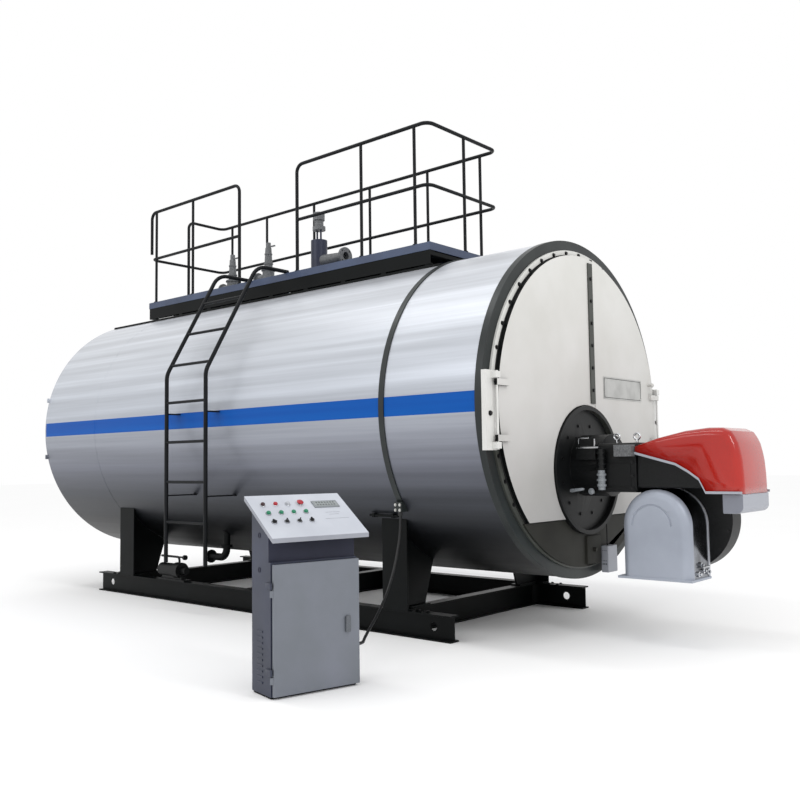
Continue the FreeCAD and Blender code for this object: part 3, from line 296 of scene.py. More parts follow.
# brushed metal: name, colour, its darker clouds, roughness, line spacing in mm
steelBright = brushedStainless("brightStainless", "#dfe1e4", "#9ea1a6", 0.22, 2.0)
steelPolished = brushedStainless("polishedAirBoxSheet", "#8d9096", "#3a3c40", 0.16, 3.0)
plateMetal = brushedStainless("anodisedPlate", "#c2c2c0", "#aeaeac", 0.40, 2.0)
boltZinc = brushedStainless("zincedFixings", "#c9c9c6", "#9b9b98", 0.34, 1.0)
# mouldings: name, colour, its darker grain, roughness
greyMoulding = mouldedPlastic("greyMoulding", "#a5a8b0", "#9699a2", 0.42)
# a darker copy of the grey moulding, used as painted shade on the burner nose
paintedShadeMoulding = mouldedPlastic("greyMouldingPaintedShade", "#7e818b", "#72757f", 0.45)
darkMoulding = mouldedPlastic("blackMoulding", "#1d1e20", "#141517", 0.4)
sheath = mouldedPlastic("blackCableSheath", "#141517", "#0c0d0e", 0.5)
gasket = mouldedPlastic("blackRopeGasket", "#151515", "#0b0b0b", 0.8, 6.0)
lampGreen = mouldedPlastic("greenButton", "#12855e", "#0d6a4a", 0.3)
lampRed = mouldedPlastic("redButton", "#b51f2e", "#8f1522", 0.3)
lampDark = mouldedPlastic("maroonButton", "#3a1218", "#280b10", 0.3)
lampGrey = mouldedPlastic("greyButton", "#b9bcc2", "#a3a6ad", 0.35)
screenGlass = mouldedPlastic("greyDisplayWindow", "#8b9094", "#7b8084", 0.18)
screenDark = mouldedPlastic("displayField", "#9aa0a0", "#8c9292", 0.25)
screenInk = mouldedPlastic("displaySegments", "#4f5459", "#43484c", 0.5)
consoleInk = mouldedPlastic("greyPanelLine", "#9da0a8", "#90939b", 0.5)
print("materials made:", len(bpy.data.materials))


# making pieces

weld = 0.00002  # closer points than this are one point
soft = 34.0  # edges flatter than this are shaded smooth


def showPiece(name, mesh, materials, body="boiler", nodes=()):
    piece = bpy.data.objects.new(name, mesh)
    scene.collection.objects.link(piece)
    for material in materials:
        mesh.materials.append(material)
    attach(piece, body)
    if nodes:
        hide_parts(*nodes)
    return piece


def smoothMesh(mesh, angle):
    mesh.polygons.foreach_set("use_smooth", [True] * len(mesh.polygons))
    mesh.set_sharp_from_angle(angle=math.radians(angle))


def roundEdges(piece, width, angle):
    bevel = piece.modifiers.new("edges", "BEVEL")
    bevel.width = width
    bevel.segments = 2
    bevel.limit_method = "ANGLE"
    bevel.angle_limit = math.radians(angle)
    bevel.harden_normals = True


def piece(name, build, materials, body="boiler", nodes=(), edge=0.0, angle=soft, pick=None):
    # build fills the mesh, edge is the bevel's width, pick gives each face its material's number
    bm = bmesh.new()
    build(bm)
    bmesh.ops.remove_doubles(bm, verts=bm.verts, dist=weld)
    bmesh.ops.recalc_face_normals(bm, faces=bm.faces)
    if pick:
        for face in bm.faces:
            face.material_index = pick(face)
    mesh = bpy.data.meshes.new(name)
    bm.to_mesh(mesh)
    bm.free()
    smoothMesh(mesh, angle)
    made = showPiece(name, mesh, materials, body, nodes)
    if edge:
        roundEdges(made, edge, angle)
    return made


def fromNode(node, materials, body="boiler", edge=0.0015, pick=None):
    # the CAD solid's own surface, joined up, with its flats whole and its corners eased
    def build(bm):
        bm.from_mesh(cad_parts[node].data)
        bmesh.ops.remove_doubles(bm, verts=bm.verts, dist=weld)
        bmesh.ops.dissolve_limit(bm, angle_limit=math.radians(0.6), verts=bm.verts,
                                 edges=bm.edges)
    return piece(node + "_skin", build, materials, body, (node,), edge, pick=pick)


def fromNodes(*rows):
    # nodes of the boiler in one material each
    for node, material, edge in rows:
        fromNode(node, [material], edge=edge)


def addBox(bm, low, high):
    x, y, z = zip(low, high)
    corners = [bm.verts.new((x[i], y[j], z[k])) for i in (0, 1) for j in (0, 1) for k in (0, 1)]
    for quad in ((0, 1, 3, 2), (4, 6, 7, 5), (0, 4, 5, 1), (2, 3, 7, 6), (0, 2, 6, 4),
                 (1, 5, 7, 3)):
        bm.faces.new([corners[i] for i in quad])


def addLathe(bm, profile, centre, axis, steps=48):
    # profile is (distance along the axis, radius); a radius of 0 closes the end
    axis = Vector(axis).normalized()
    side = axis.orthogonal().normalized()
    other = axis.cross(side)
    rings = []
    for along, radius in profile:
        middle = Vector(centre) + axis * along
        if radius <= 0.0:
            rings.append([bm.verts.new(middle)])
            continue
        rings.append([bm.verts.new(middle + radius * (math.cos(a) * side + math.sin(a) * other))
                      for a in (2.0 * math.pi * i / steps for i in range(steps))])
    for near, far in zip(rings[:-1], rings[1:]):
        for i in range(steps):
            j = (i + 1) % steps
            corners = [near[i % len(near)], near[j % len(near)], far[j % len(far)],
                       far[i % len(far)]]
            unique = list(dict.fromkeys(corners))
            if len(unique) > 2:
                bm.faces.new(unique)


def addPrism(bm, outline, push):
    # outline is a closed loop of points, pushed along a vector
    near = [bm.verts.new(p) for p in outline]
    far = [bm.verts.new(Vector(p) + Vector(push)) for p in outline]
    bm.faces.new(near)
    bm.faces.new(far[::-1])
    count = len(near)
    for i in range(count):
        j = (i + 1) % count
        bm.faces.new((near[i], near[j], far[j], far[i]))


def lathed(*parts, steps=48):
    def build(bm):
        for profile, centre, axis in parts:
            addLathe(bm, profile, centre, axis, steps)
    return build


def boxes(*pairs):
    def build(bm):
        for low, high in pairs:
            addBox(bm, low, high)
    return build


# Geometry Nodes trees

def newTree(name, inputs):
    tree = bpy.data.node_groups.new(name, "GeometryNodeTree")
    tree.interface.new_socket("Geometry", in_out="INPUT", socket_type="NodeSocketGeometry")
    for label, value in inputs.items():
        kind = "Int" if isinstance(value, int) else "Float"
        tree.interface.new_socket(label, in_out="INPUT",
                                  socket_type="NodeSocket" + kind).default_value = value
    tree.interface.new_socket("Material", in_out="INPUT", socket_type="NodeSocketMaterial")
    tree.interface.new_socket("Geometry", in_out="OUTPUT", socket_type="NodeSocketGeometry")
    return tree, addNode(tree, "NodeGroupInput"), addNode(tree, "NodeGroupOutput")


def closeTree(tree, entry, exit, geometry):
    real = addNode(tree, "GeometryNodeRealizeInstances", links={"Geometry": geometry})
    painted = addNode(tree, "GeometryNodeSetMaterial",
                      links={"Geometry": real.outputs["Geometry"],
                             "Material": entry.outputs["Material"]})
    tree.links.new(painted.outputs["Geometry"], exit.inputs["Geometry"])
    return tree


def scatter(tree, entry, exit, shape, turn):
    # closes a tree that sets one shape on every point
    placed = addNode(tree, "GeometryNodeInstanceOnPoints",
                     links={"Points": entry.outputs["Geometry"], "Instance": shape,
                            "Rotation": turn})
    return closeTree(tree, entry, exit, placed.outputs["Instances"])


def tubeTree():
    # polylines become bent round tube
    tree, entry, exit = newTree("bentTube", {"Tube Radius": 0.015, "Bend Radius": 0.07})
    line = addNode(tree, "GeometryNodeMeshToCurve", links={"Mesh": entry.outputs["Geometry"]})
    bent = addNode(tree, "GeometryNodeFilletCurve",
                   {"mode": "POLY", "Limit Radius": True, "Count": 9},
                   {"Curve": line.outputs["Curve"], "Radius": entry.outputs["Bend Radius"]})
    ring = addNode(tree, "GeometryNodeCurvePrimitiveCircle", {"Resolution": 14},
                   {"Radius": entry.outputs["Tube Radius"]})
    tube = addNode(tree, "GeometryNodeCurveToMesh", {"Fill Caps": True},
                   {"Curve": bent.outputs["Curve"], "Profile Curve": ring.outputs["Curve"]})
    return closeTree(tree, entry, exit, tube.outputs["Mesh"])


def fixingTree():
    # a hexagon or round head on a washer at every point, facing along the point's own "out"
    tree, entry, exit = newTree("fixings", {"Head Radius": 0.01, "Head Height": 0.006,
                                            "Washer Radius": 0.014, "Sides": 6, "Seed": 4})
    out = addNode(tree, "GeometryNodeInputNamedAttribute",
                  {"data_type": "FLOAT_VECTOR", "Name": "out"})
    turn = addNode(tree, "FunctionNodeAlignRotationToVector", {"axis": "Z"},
                   {"Vector": out.outputs["Attribute"]})
    spin = addNode(tree, "FunctionNodeRandomValue", {"data_type": "FLOAT", 3: 1.0},
                   {"Seed": entry.outputs["Seed"]})
    spun = addNode(tree, "FunctionNodeAxisAngleToRotation", {"Axis": (0.0, 0.0, 1.0)},
                   {"Angle": spin.outputs[1]})
    whole = addNode(tree, "FunctionNodeRotateRotation", {"rotation_space": "LOCAL"},
                    {"Rotation": turn.outputs["Rotation"], "Rotate By": spun.outputs["Rotation"]})
    parts = []
    for radius, share in (("Washer Radius", 0.3), ("Head Radius", 1.0)):
        deep = addNode(tree, "ShaderNodeMath", {"operation": "MULTIPLY", 1: share},
                       {0: entry.outputs["Head Height"]})
        half = addNode(tree, "ShaderNodeMath", {"operation": "MULTIPLY", 1: 0.5},
                       {0: deep.outputs[0]})
        shape = addNode(tree, "GeometryNodeMeshCylinder", {"Vertices": 12},
                        {"Radius": entry.outputs[radius], "Depth": deep.outputs[0]})
        if radius == "Head Radius":
            tree.links.new(entry.outputs["Sides"], shape.inputs["Vertices"])
        lift = addNode(tree, "ShaderNodeCombineXYZ", links={"Z": half.outputs[0]})
        parts.append(addNode(tree, "GeometryNodeTransform",
                             links={"Geometry": shape.outputs["Mesh"],
                                    "Translation": lift.outputs["Vector"]}))
    both = addNode(tree, "GeometryNodeJoinGeometry")
    for part in parts:
        tree.links.new(part.outputs["Geometry"], both.inputs["Geometry"])
    return scatter(tree, entry, exit, both.outputs["Geometry"], whole.outputs["Rotation"])


def treadTree():
    # raised lozenges of a checker plate, turned a quarter turn from one point to the next
    tree, entry, exit = newTree("checkerTread", {"Length": 0.03, "Width": 0.008,
                                                 "Height": 0.0022})
    blob = addNode(tree, "GeometryNodeMeshUVSphere", {"Segments": 8, "Rings": 4, "Radius": 0.5})
    size = addNode(tree, "ShaderNodeCombineXYZ",
                   links={"X": entry.outputs["Length"], "Y": entry.outputs["Width"],
                          "Z": entry.outputs["Height"]})
    bar = addNode(tree, "GeometryNodeTransform",
                  links={"Geometry": blob.outputs["Mesh"], "Scale": size.outputs["Vector"]})
    side = addNode(tree, "GeometryNodeInputNamedAttribute",
                   {"data_type": "FLOAT", "Name": "side"})
    angle = addNode(tree, "ShaderNodeMath",
                    {"operation": "MULTIPLY_ADD", 1: math.pi / 2.0, 2: math.pi / 4.0},
                    {0: side.outputs["Attribute"]})
    turn = addNode(tree, "ShaderNodeCombineXYZ", links={"Z": angle.outputs[0]})
    return scatter(tree, entry, exit, bar.outputs["Geometry"], turn.outputs["Vector"])


def louvreTree():
    # half-buried pressed hoods, one at every point, long way across the panel
    tree, entry, exit = newTree("pressedLouvre", {"Length": 0.06, "Lift": 0.004, "Rise": 0.010,
                                                  "Turn": 0.0})
    roll = addNode(tree, "GeometryNodeMeshCylinder",
                   {"Vertices": 14, "Radius": 0.5, "Depth": 1.0})
    size = addNode(tree, "ShaderNodeCombineXYZ",
                   links={"X": entry.outputs["Rise"], "Y": entry.outputs["Lift"],
                          "Z": entry.outputs["Length"]})
    pressed = addNode(tree, "GeometryNodeTransform",
                      links={"Geometry": roll.outputs["Mesh"], "Scale": size.outputs["Vector"]})
    laid = addNode(tree, "GeometryNodeTransform", {"Rotation": (0.0, math.pi / 2.0, 0.0)},
                   {"Geometry": pressed.outputs["Geometry"]})
    turn = addNode(tree, "ShaderNodeCombineXYZ", links={"Z": entry.outputs["Turn"]})
    return scatter(tree, entry, exit, laid.outputs["Geometry"], turn.outputs["Vector"])


def pointMesh(name, points, attribute=None, kind="FLOAT", values=()):
    mesh = bpy.data.meshes.new(name)
    mesh.from_pydata(points, [], [])
    if attribute:
        field = "vector" if kind == "FLOAT_VECTOR" else "value"
        mesh.attributes.new(attribute, kind, "POINT").data.foreach_set(field, values)
    return mesh


def grown(name, tree, base, values, material, body="boiler", nodes=(), angle=soft):
    # runs a tree on a base mesh and keeps the result as a plain mesh
    carrier = bpy.data.objects.new(name + "Base", base)
    scene.collection.objects.link(carrier)
    modifier = carrier.modifiers.new("grow", "NODES")
    modifier.node_group = tree
    sockets = {item.name: item.identifier for item in tree.interface.items_tree
               if item.in_out == "INPUT"}
    for label, value in dict(values, Material=material).items():
        modifier[sockets[label]] = value
    bpy.context.view_layer.update()
    graph = bpy.context.evaluated_depsgraph_get()
    mesh = bpy.data.meshes.new_from_object(carrier.evaluated_get(graph))
    carrier.modifiers.remove(modifier)
    bpy.data.objects.remove(carrier)
    mesh.name = name
    mesh.materials.clear()
    smoothMesh(mesh, angle)
    return showPiece(name, mesh, [material], body, nodes)


def tubes(name, runs, radius, bend, material, nodes=()):
    points, edges = [], []
    for run in runs:
        edges += [(len(points) + i, len(points) + i + 1) for i in range(len(run) - 1)]
        points += run
    base = bpy.data.meshes.new(name + "Lines")
    base.from_pydata(points, edges, [])
    return grown(name, bentTube, base, {"Tube Radius": radius, "Bend Radius": bend}, material,
                 nodes=nodes, angle=60.0)


def fixings(name, places, size, material, body="boiler"):
    # places are (point, direction out of the surface), size is head radius, height, washer
    # radius and, for a round head, its sides
    base = pointMesh(name + "Points", [point for point, out in places], "out", "FLOAT_VECTOR",
                     [c for point, out in places for c in out])
    values = dict(zip(("Head Radius", "Head Height", "Washer Radius", "Sides"), size))
    return grown(name, fixingSet, base, values, material, body)


def circle(centre, radius, across, up, out, degrees):
    # places for fixings round a circle
    turns = [math.radians(d) for d in degrees]
    return [(Vector(centre) + radius * (math.cos(a) * across + math.sin(a) * up), out)
            for a in turns]


bentTube = tubeTree()
fixingSet = fixingTree()
checkerTread = treadTree()
pressedLouvre = louvreTree()
print("node trees built")


# cable from the strap's clamp to the cabinet

cable = {"diameter": 0.018, "length": 1.50, "exit": (1.850, -1.026, 0.842)}
cableRoute = [(1.850, -1.026, 0.842), (1.850, -1.026, 0.7623), (1.856, -1.060, 0.6229),
              (1.872, -1.136, 0.4602), (1.922, -1.266, 0.3307), (2.0037, -1.4386, 0.2411),
              (2.1069, -1.6298, 0.188), (2.2308, -1.8059, 0.1714), (2.3344, -1.9254, 0.178),
              (2.3088, -2.0323, 0.178)]


def addCable():
    data = bpy.data.curves.new("control_cable_run", "CURVE")
    data.dimensions = "3D"
    data.bevel_depth = cable["diameter"] / 2.0
    data.bevel_resolution = 4
    data.resolution_u = 16
    data.use_fill_caps = True
    line = data.splines.new("NURBS")
    line.points.add(len(cableRoute) - 1)
    for point, place in zip(line.points, cableRoute):
        point.co = (*place, 1.0)
    line.order_u = 3
    line.use_endpoint_u = True
    run = bpy.data.objects.new("control_cable_run", data)
    scene.collection.objects.link(run)
    data.materials.append(sheath)
    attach(run, "boiler")
    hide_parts("control_cable")


addCable()
print("cable laid")


# shell and its ends

shell = {"radius": 1.2, "axis": 1.58, "rear": -2.77, "plate": 0.018, "front": 2.627,
         "fold": 0.05, "lap": 0.001, "lapStep": 0.0004, "joints": (-1.83, 0.10),
         "rivetRow": 0.012, "rivetSeat": 1.1995, "rivet": (0.0035, 0.0015, 0.0045, 8)}


def shellSkin(bm):
    # sheets along the shell, every second one lapped under its neighbours
    radius, under = shell["radius"], shell["radius"] - shell["lap"]
    rear, front = shell["rear"] + shell["plate"], shell["front"]
    profile = [(rear, radius - shell["fold"]), (rear, radius)]
    for joint in shell["joints"]:
        profile += [(joint, radius), (joint + shell["lapStep"], under)]
        radius, under = under, radius
    profile += [(front, radius), (front, shell["radius"] - shell["fold"])]
    addLathe(bm, profile, (0.0, 0.0, shell["axis"]), wayX, 180)


def aroundAxis(x, radius, degrees):
    a = math.radians(degrees)
    return Vector((x, radius * math.cos(a), shell["axis"] + radius * math.sin(a)))


def radial(degrees):
    a = math.radians(degrees)
    return Vector((0.0, math.cos(a), math.sin(a)))


piece("cladding_sheets", shellSkin, [cladding], nodes=("shell_cladding",), angle=20.0)
rivets = [(aroundAxis(x + shell["rivetRow"], shell["rivetSeat"], a), radial(a))
          for x in shell["joints"] for a in range(0, 360, 6)]
fixings("cladding_rivets", rivets, shell["rivet"], cladding)
fromNodes(("rear_plate", cladding, 0.002), ("rear_cover", castGrey, 0.004))
rearCover = {"face": -2.804, "boltCircle": 0.472, "bolt": (0.015, 0.013, 0.021),
             "grip": -2.822, "gripHalf": 0.12, "gripZ": 1.16, "gripRadius": 0.006,
             "gripBend": 0.01}
fixings("rear_cover_bolts", circle((rearCover["face"], 0.0, shell["axis"]),
                                   rearCover["boltCircle"], wayY, wayZ, -wayX,
                                   range(0, 360, 20)), rearCover["bolt"], boltZinc)
grip = [(rearCover[place], side * rearCover["gripHalf"], rearCover["gripZ"])
        for place, side in (("face", -1), ("grip", -1), ("grip", 1), ("face", 1))]
tubes("rear_cover_handle", [grip], rearCover["gripRadius"], rearCover["gripBend"], boltZinc)
fromNodes(("end_ring", ringEnamel, 0.002), ("top_bearers", blackEnamel, 0.001),
          ("strap_band", ringEnamel, 0.001), ("side_conduit", blackEnamel, 0.001))
strap = {"x": 1.841, "face": 1.0445, "z": 0.90, "boltX": 0.02, "boltZ": 0.018,
         "bolt": (0.008, 0.007, 0.011)}
strapBolts = [(Vector((strap["x"] + i * strap["boltX"], side * strap["face"],
                       strap["z"] + j * strap["boltZ"])), side * wayY)
              for side in (-1, 1) for i in (-1, 1) for j in (-1, 1)]
fixings("strap_bolts", strapBolts, strap["bolt"], boltZinc)
print("shell made")


# front plate, doors and hinges

front = {"face": 2.698, "boltRadius": 1.111, "boltStart": 125.8, "boltStep": 9.0, "bolts": 40,
         "bolt": (0.011, 0.011, 0.0145), "lowestBolt": 0.83, "hingeZ": 1.526, "hingeHalf": 0.27,
         "doorRim": 1.08, "burnerZ": 1.14}

fromNode("front_plate", [flangePaint], edge=0.001)


def rimPaintwork(face):
    # the ring is black round the near side and foot, olive over the top and down the far side
    middle = face.calc_center_median()
    angle = math.degrees(math.atan2(middle.z - front["burnerZ"], middle.y))
    return 1 if 2.0 < angle < 96.0 else 0


fromNode("burner_rim", [castBlack, stripEnamel], edge=0.002, pick=rimPaintwork)
fromNode("lower_plate", [oliveEnamel])


def leafRimPaintedShade(face):
    # the leaf's outer rim wall is black as painted shade on the door's side, the rest cream
    middle = face.calc_center_median()
    reach = math.hypot(middle.y, middle.z - shell["axis"])
    return 1 if reach > front["doorRim"] and abs(face.normal.x) < 0.5 else 0


for side in ("near", "far"):
    fromNode("door_" + side, [creamEnamel, blackEnamel], side + "_leaf", 0.002, pick=leafRimPaintedShade)
fromNode("door_strip", [stripEnamel], "near_leaf")
fromNode("nameplate", [plateMetal], "far_leaf", 0.0008)
fromNode("door_hinges", [whiteEnamel], edge=0.002)
rope = {"back": 2.6985, "face": 2.7035, "inside": 1.086, "outside": 1.100}
ropeLoop = [(rope["back"], rope["inside"]), (rope["back"], rope["outside"]),
            (rope["face"], rope["outside"]), (rope["face"], rope["inside"]),
            (rope["back"], rope["inside"])]
piece("door_gasket", lathed((ropeLoop, (0.0, 0.0, shell["axis"]), wayX), steps=160), [gasket])
ringSpots = [aroundAxis(front["face"], front["boltRadius"],
                        front["boltStart"] + front["boltStep"] * i)
             for i in range(front["bolts"])]
ringBolts = [(spot, wayX) for spot in ringSpots  # none under the hinges or the lower plate
             if abs(spot.z - front["hingeZ"]) >= front["hingeHalf"]
             and spot.z >= front["lowestBolt"]]
fixings("flange_bolts", ringBolts, front["bolt"], boltBlack)
seamStrip = {"face": 2.742, "y": 0.096, "z": 1.711, "pitch": 0.163, "bolts": 6,
             "bolt": (0.011, 0.009, 0.014)}
stripBolts = [(Vector((seamStrip["face"], seamStrip["y"],
                       seamStrip["z"] + seamStrip["pitch"] * i)), wayX)
              for i in range(seamStrip["bolts"])]
fixings("seam_strip_bolts", stripBolts, seamStrip["bolt"], boltBlack, "near_leaf")
plate = {"back": 2.7345, "face": 2.735, "borderFace": 2.736,
         "borderY": (0.272, 0.276, 0.858, 0.862), "borderZ": (1.668, 1.672, 1.812, 1.816),
         "rivetY": (0.282, 0.852), "rivetZ": (1.676, 1.808), "rivet": (0.006, 0.003, 0.007, 10)}
plateRivets = [(Vector((plate["face"], y, z)), wayX)
               for y in plate["rivetY"] for z in plate["rivetZ"]]
fixings("nameplate_rivets", plateRivets, plate["rivet"], boltZinc, "far_leaf")
y, z = plate["borderY"], plate["borderZ"]
borders = [((plate["back"], y[i], z[k]), (plate["borderFace"], y[j], z[m]))
           for i, j, k, m in ((0, 3, 0, 1), (0, 3, 2, 3), (0, 1, 1, 2), (2, 3, 1, 2))]
piece("nameplate_border", boxes(*borders), [stripEnamel], "far_leaf", edge=0.0004)
hinge = {"face": 2.716, "y": 1.165, "z": 1.505, "bolt": (0.013, 0.012, 0.017)}
fixings("hinge_bolts", [(Vector((hinge["face"], side * hinge["y"], hinge["z"])), wayX)
                        for side in (-1, 1)], hinge["bolt"], boltBlack)
print("front made")


# burner

hood = {"half": 0.240, "wall": 0.008, "round": 0.055, "steps": 7, "rear": 3.211,
        "front": 3.909, "bottom": 0.988, "leastRound": 0.35, "roundOver": 0.45,
        "top": [(3.211, 1.296), (3.361, 1.343), (3.551, 1.386), (3.700, 1.4015),
                (3.790, 1.398), (3.838, 1.376), (3.862, 1.338), (3.879, 1.300),
                (3.893, 1.240), (3.901, 1.190), (3.907, 1.110), (3.909, 1.040),
                (3.909, 0.988)],
        "low": [(3.681, 0.988), (3.641, 1.070), (3.575, 1.118), (3.491, 1.166),
                (3.371, 1.198), (3.211, 1.242)]}


def hoodSkin(bm):
    # a sheet over the top and down the nose, rolled into both flanks with a radius that grows
    # to the front
    crest = [Vector(p) for p in hood["top"]]
    arc = [math.pi / 2.0 * k / hood["steps"] for k in range(hood["steps"] + 1)]
    rows = []
    for i, point in enumerate(crest):
        ahead = (crest[min(i + 1, len(crest) - 1)] - crest[max(i - 1, 0)]).normalized()
        inward = Vector((ahead.y, -ahead.x))
        share = min(1.0, (point.x - hood["rear"]) / hood["roundOver"])
        radius = hood["round"] * (hood["leastRound"] + (1.0 - hood["leastRound"]) * share)
        half = [(hood["half"] - radius + radius * math.sin(a),
                 point + inward * radius * (1.0 - math.cos(a))) for a in arc]
        row = [(-y, p) for y, p in reversed(half)] + half
        rows.append([bm.verts.new((max(min(p.x, hood["front"]), hood["rear"]), y,
                                   max(p.y, hood["bottom"]))) for y, p in row])
    for near, far in zip(rows[:-1], rows[1:]):
        for i in range(len(near) - 1):
            bm.faces.new((near[i], far[i], far[i + 1], near[i + 1]))
    for end, side in ((0, -hood["half"]), (-1, hood["half"])):
        bm.faces.new([row[end] for row in rows]
                     + [bm.verts.new((x, side, z)) for x, z in hood["low"]])


hoodPiece = piece("burner_hood_shell", hoodSkin, [redGloss], nodes=("burner_hood",), angle=28.0)
wall = hoodPiece.modifiers.new("wall", "SOLIDIFY")
wall.thickness = hood["wall"]
wall.offset = -1.0
fromNode("hood_trim", [greyMoulding], edge=0.001)
# painted shade: the nose's faces toward -Y and -X take the darker copy of the grey moulding
fromNode("hood_nose", [greyMoulding, paintedShadeMoulding], edge=0.006,
         pick=lambda face: 1 if face.normal.y < -0.7 or face.normal.x < -0.7 else 0)
fromNodes(("burner_body", castBlack, 0.003), ("fan_casing", castBlack, 0.003),
          ("burner_bracket", castBlack, 0.001), ("lifting_eyes", steelBright, 0.0))
piece("bracket_bright_edges", boxes(((2.800, -0.253, 1.352), (2.885, -0.2435, 1.361)),
                                    ((2.785, -0.257, 1.286), (2.955, -0.2435, 1.298)),
                                    ((2.922, -0.254, 1.300), (2.931, -0.2435, 1.352)),
                                    ((2.800, -0.254, 1.318), (2.808, -0.2435, 1.352))),
      [steelBright], edge=0.002)
airBox = {"coverBack": -0.178, "rimFront": 0.035, "base": 0.450}


def airBoxSheet(face):
    # painted near cover and base, bright wrapper sheet behind it, painted rear rim
    middle = face.calc_center_median()
    if middle.z < airBox["base"] or middle.y < airBox["coverBack"]:
        return 0
    return 2 if middle.y > airBox["rimFront"] else 1


fromNode("air_box", [boxPaint, steelPolished, rimPaint], edge=0.0025, pick=airBoxSheet)
controls = {"boxRear": 3.05, "actuatorTop": 1.14}


def actuatorParts(face):
    # grey junction box, black head, silver actuator under it
    middle = face.calc_center_median()
    if middle.x > controls["boxRear"]:
        return 0
    return 2 if middle.z < controls["actuatorTop"] else 1


fromNode("burner_controls", [castGrey, castBlack, actuatorSilver], pick=actuatorParts)
fromNode("level_box", [greyMoulding], edge=0.005)
levelBox = {"x": 2.724, "pitch": 0.013, "mark": 0.008, "face": 0.1894, "proud": 0.1902,
            "marks": ((0.452, 0.012), (0.478, 0.006), (0.552, 0.004))}
markStarts = [levelBox["x"] + levelBox["pitch"] * i for i in range(3)]
piece("level_box_marks", boxes(*[((x, levelBox["face"], z),
                                  (x + levelBox["mark"], levelBox["proud"], z + high))
                                 for z, high in levelBox["marks"] for x in markStarts]),
      [screenInk])
# turned parts: (distance, radius) profile, foot, direction
rod = ([(0.0, 0.0), (0.0, 0.007), (0.02, 0.007), (0.022, 0.0045), (0.17, 0.0045), (0.17, 0.0)],
       (2.742, 0.235, 0.586), wayZ)
lever = ([(0.0, 0.0), (0.0, 0.010), (0.012, 0.013), (0.100, 0.009), (0.112, 0.0)],
         (2.730, -0.246, 0.998), (0.95, 0.0, 0.12))
knob = ([(0.0, 0.0), (0.0, 0.020), (0.014, 0.022), (0.02, 0.012), (0.022, 0.0)],
        (2.880, -0.215, 0.995), -wayY)
latch = [(0.0, 0.0), (0.0, 0.017), (0.012, 0.017), (0.014, 0.009), (0.026, 0.009), (0.028, 0.0)]
latchRod = ([(0.0, 0.0), (0.0, 0.006), (0.12, 0.006), (0.12, 0.0)], (3.584, -0.10, 0.514), wayY)
latches = [(latch, (3.5665, y, z), wayX)
           for y, z in ((-0.13, 0.475), (-0.05, 0.49), (0.015, 0.478), (-0.09, 0.53))]
piece("level_rod", lathed(rod, steps=16), [boltBlack])
piece("burner_lever", lathed(lever, knob, steps=20), [actuatorSilver])
piece("air_box_latches", lathed(*latches, latchRod, steps=20), [steelBright])
fan = {"x": 3.395, "z": 0.815, "boltCircle": 0.315, "near": 0.0605, "far": 0.210,
       "boxFront": 3.60, "nearTurn": 10, "step": 24, "bolts": 15, "bolt": (0.009, 0.008, 0.013)}
fanTurns = [fan["step"] * i for i in range(fan["bolts"])]
fanBolts = circle((fan["x"], fan["near"], fan["z"]), fan["boltCircle"], wayX, wayZ, -wayY,
                  [fan["nearTurn"] + turn for turn in fanTurns])
fanBolts = [place for place in fanBolts if place[0].x > fan["boxFront"]]
fanBolts += circle((fan["x"], fan["far"], fan["z"]), fan["boltCircle"], wayX, wayZ, wayY,
                   fanTurns)
fixings("fan_casing_bolts", fanBolts, fan["bolt"], boltBlack)
head = {"flank": -0.2205, "flange": 2.712, "boltCircle": 0.32, "bolt": (0.010, 0.009, 0.014)}
headBolts = [(Vector((x, head["flank"], z)), -wayY)
             for x in (2.955, 3.185) for z in (1.015, 1.10, 1.19)]
headBolts += circle((head["flange"], 0.0, front["burnerZ"]), head["boltCircle"], wayY, wayZ,
                    wayX, range(15, 360, 30))
fixings("burner_head_bolts", headBolts, head["bolt"], boltBlack)
duct = {"near": -0.206, "width": 0.40,
        "outline": [(3.205, 1.02), (3.211, 1.245), (3.361, 1.30), (3.55, 1.30), (3.655, 1.20),
                    (3.665, 1.02)]}
piece("fan_duct_casting",
      lambda bm: addPrism(bm, [(x, duct["near"], z) for x, z in duct["outline"]],
                          wayY * duct["width"]), [castBlack], edge=0.012)
piece("burner_head_cover", boxes(((2.968, -0.2245, 1.030), (3.172, -0.2195, 1.185))),
      [castBlack], edge=0.002)
print("burner made")


# skid, pump and drain

fromNodes(("long_beams", blackEnamel, 0.002), ("cross_beams", blackEnamel, 0.002),
          ("saddles", blackEnamel, 0.002), ("drain_pipe", blackEnamel, 0.002),
          ("feed_pump", castBlack, 0.002))
skid = {"saddleX": 1.9, "footY": 0.877, "footTop": 0.178, "boltX": 0.04, "boltY": 0.028,
        "bolt": (0.011, 0.009, 0.015)}
skidBolts = [(Vector((x + i * skid["boltX"], side * (skid["footY"] + j * skid["boltY"]),
                      skid["footTop"])), wayZ)
             for x in (-skid["saddleX"], skid["saddleX"]) for i in (-1, 1)
             for side in (-1, 1) for j in (-1, 1)]
fixings("skid_bolts", skidBolts, skid["bolt"], boltBlack)
print("skid made")


# walkway, railing and ladder

fromNodes(("deck_plate", deckEnamel, 0.001), ("deck_edge", deckEnamel, 0.001),
          ("deck_frame", blackEnamel, 0.0), ("deck_members", blackEnamel, 0.0),
          ("ladder_rungs", railEnamel, 0.0), ("ladder_arms", railEnamel, 0.0))
deck = {"rear": -2.02, "front": 1.686, "half": 0.455, "top": 2.8865, "pitch": 0.062,
        "border": 0.02}


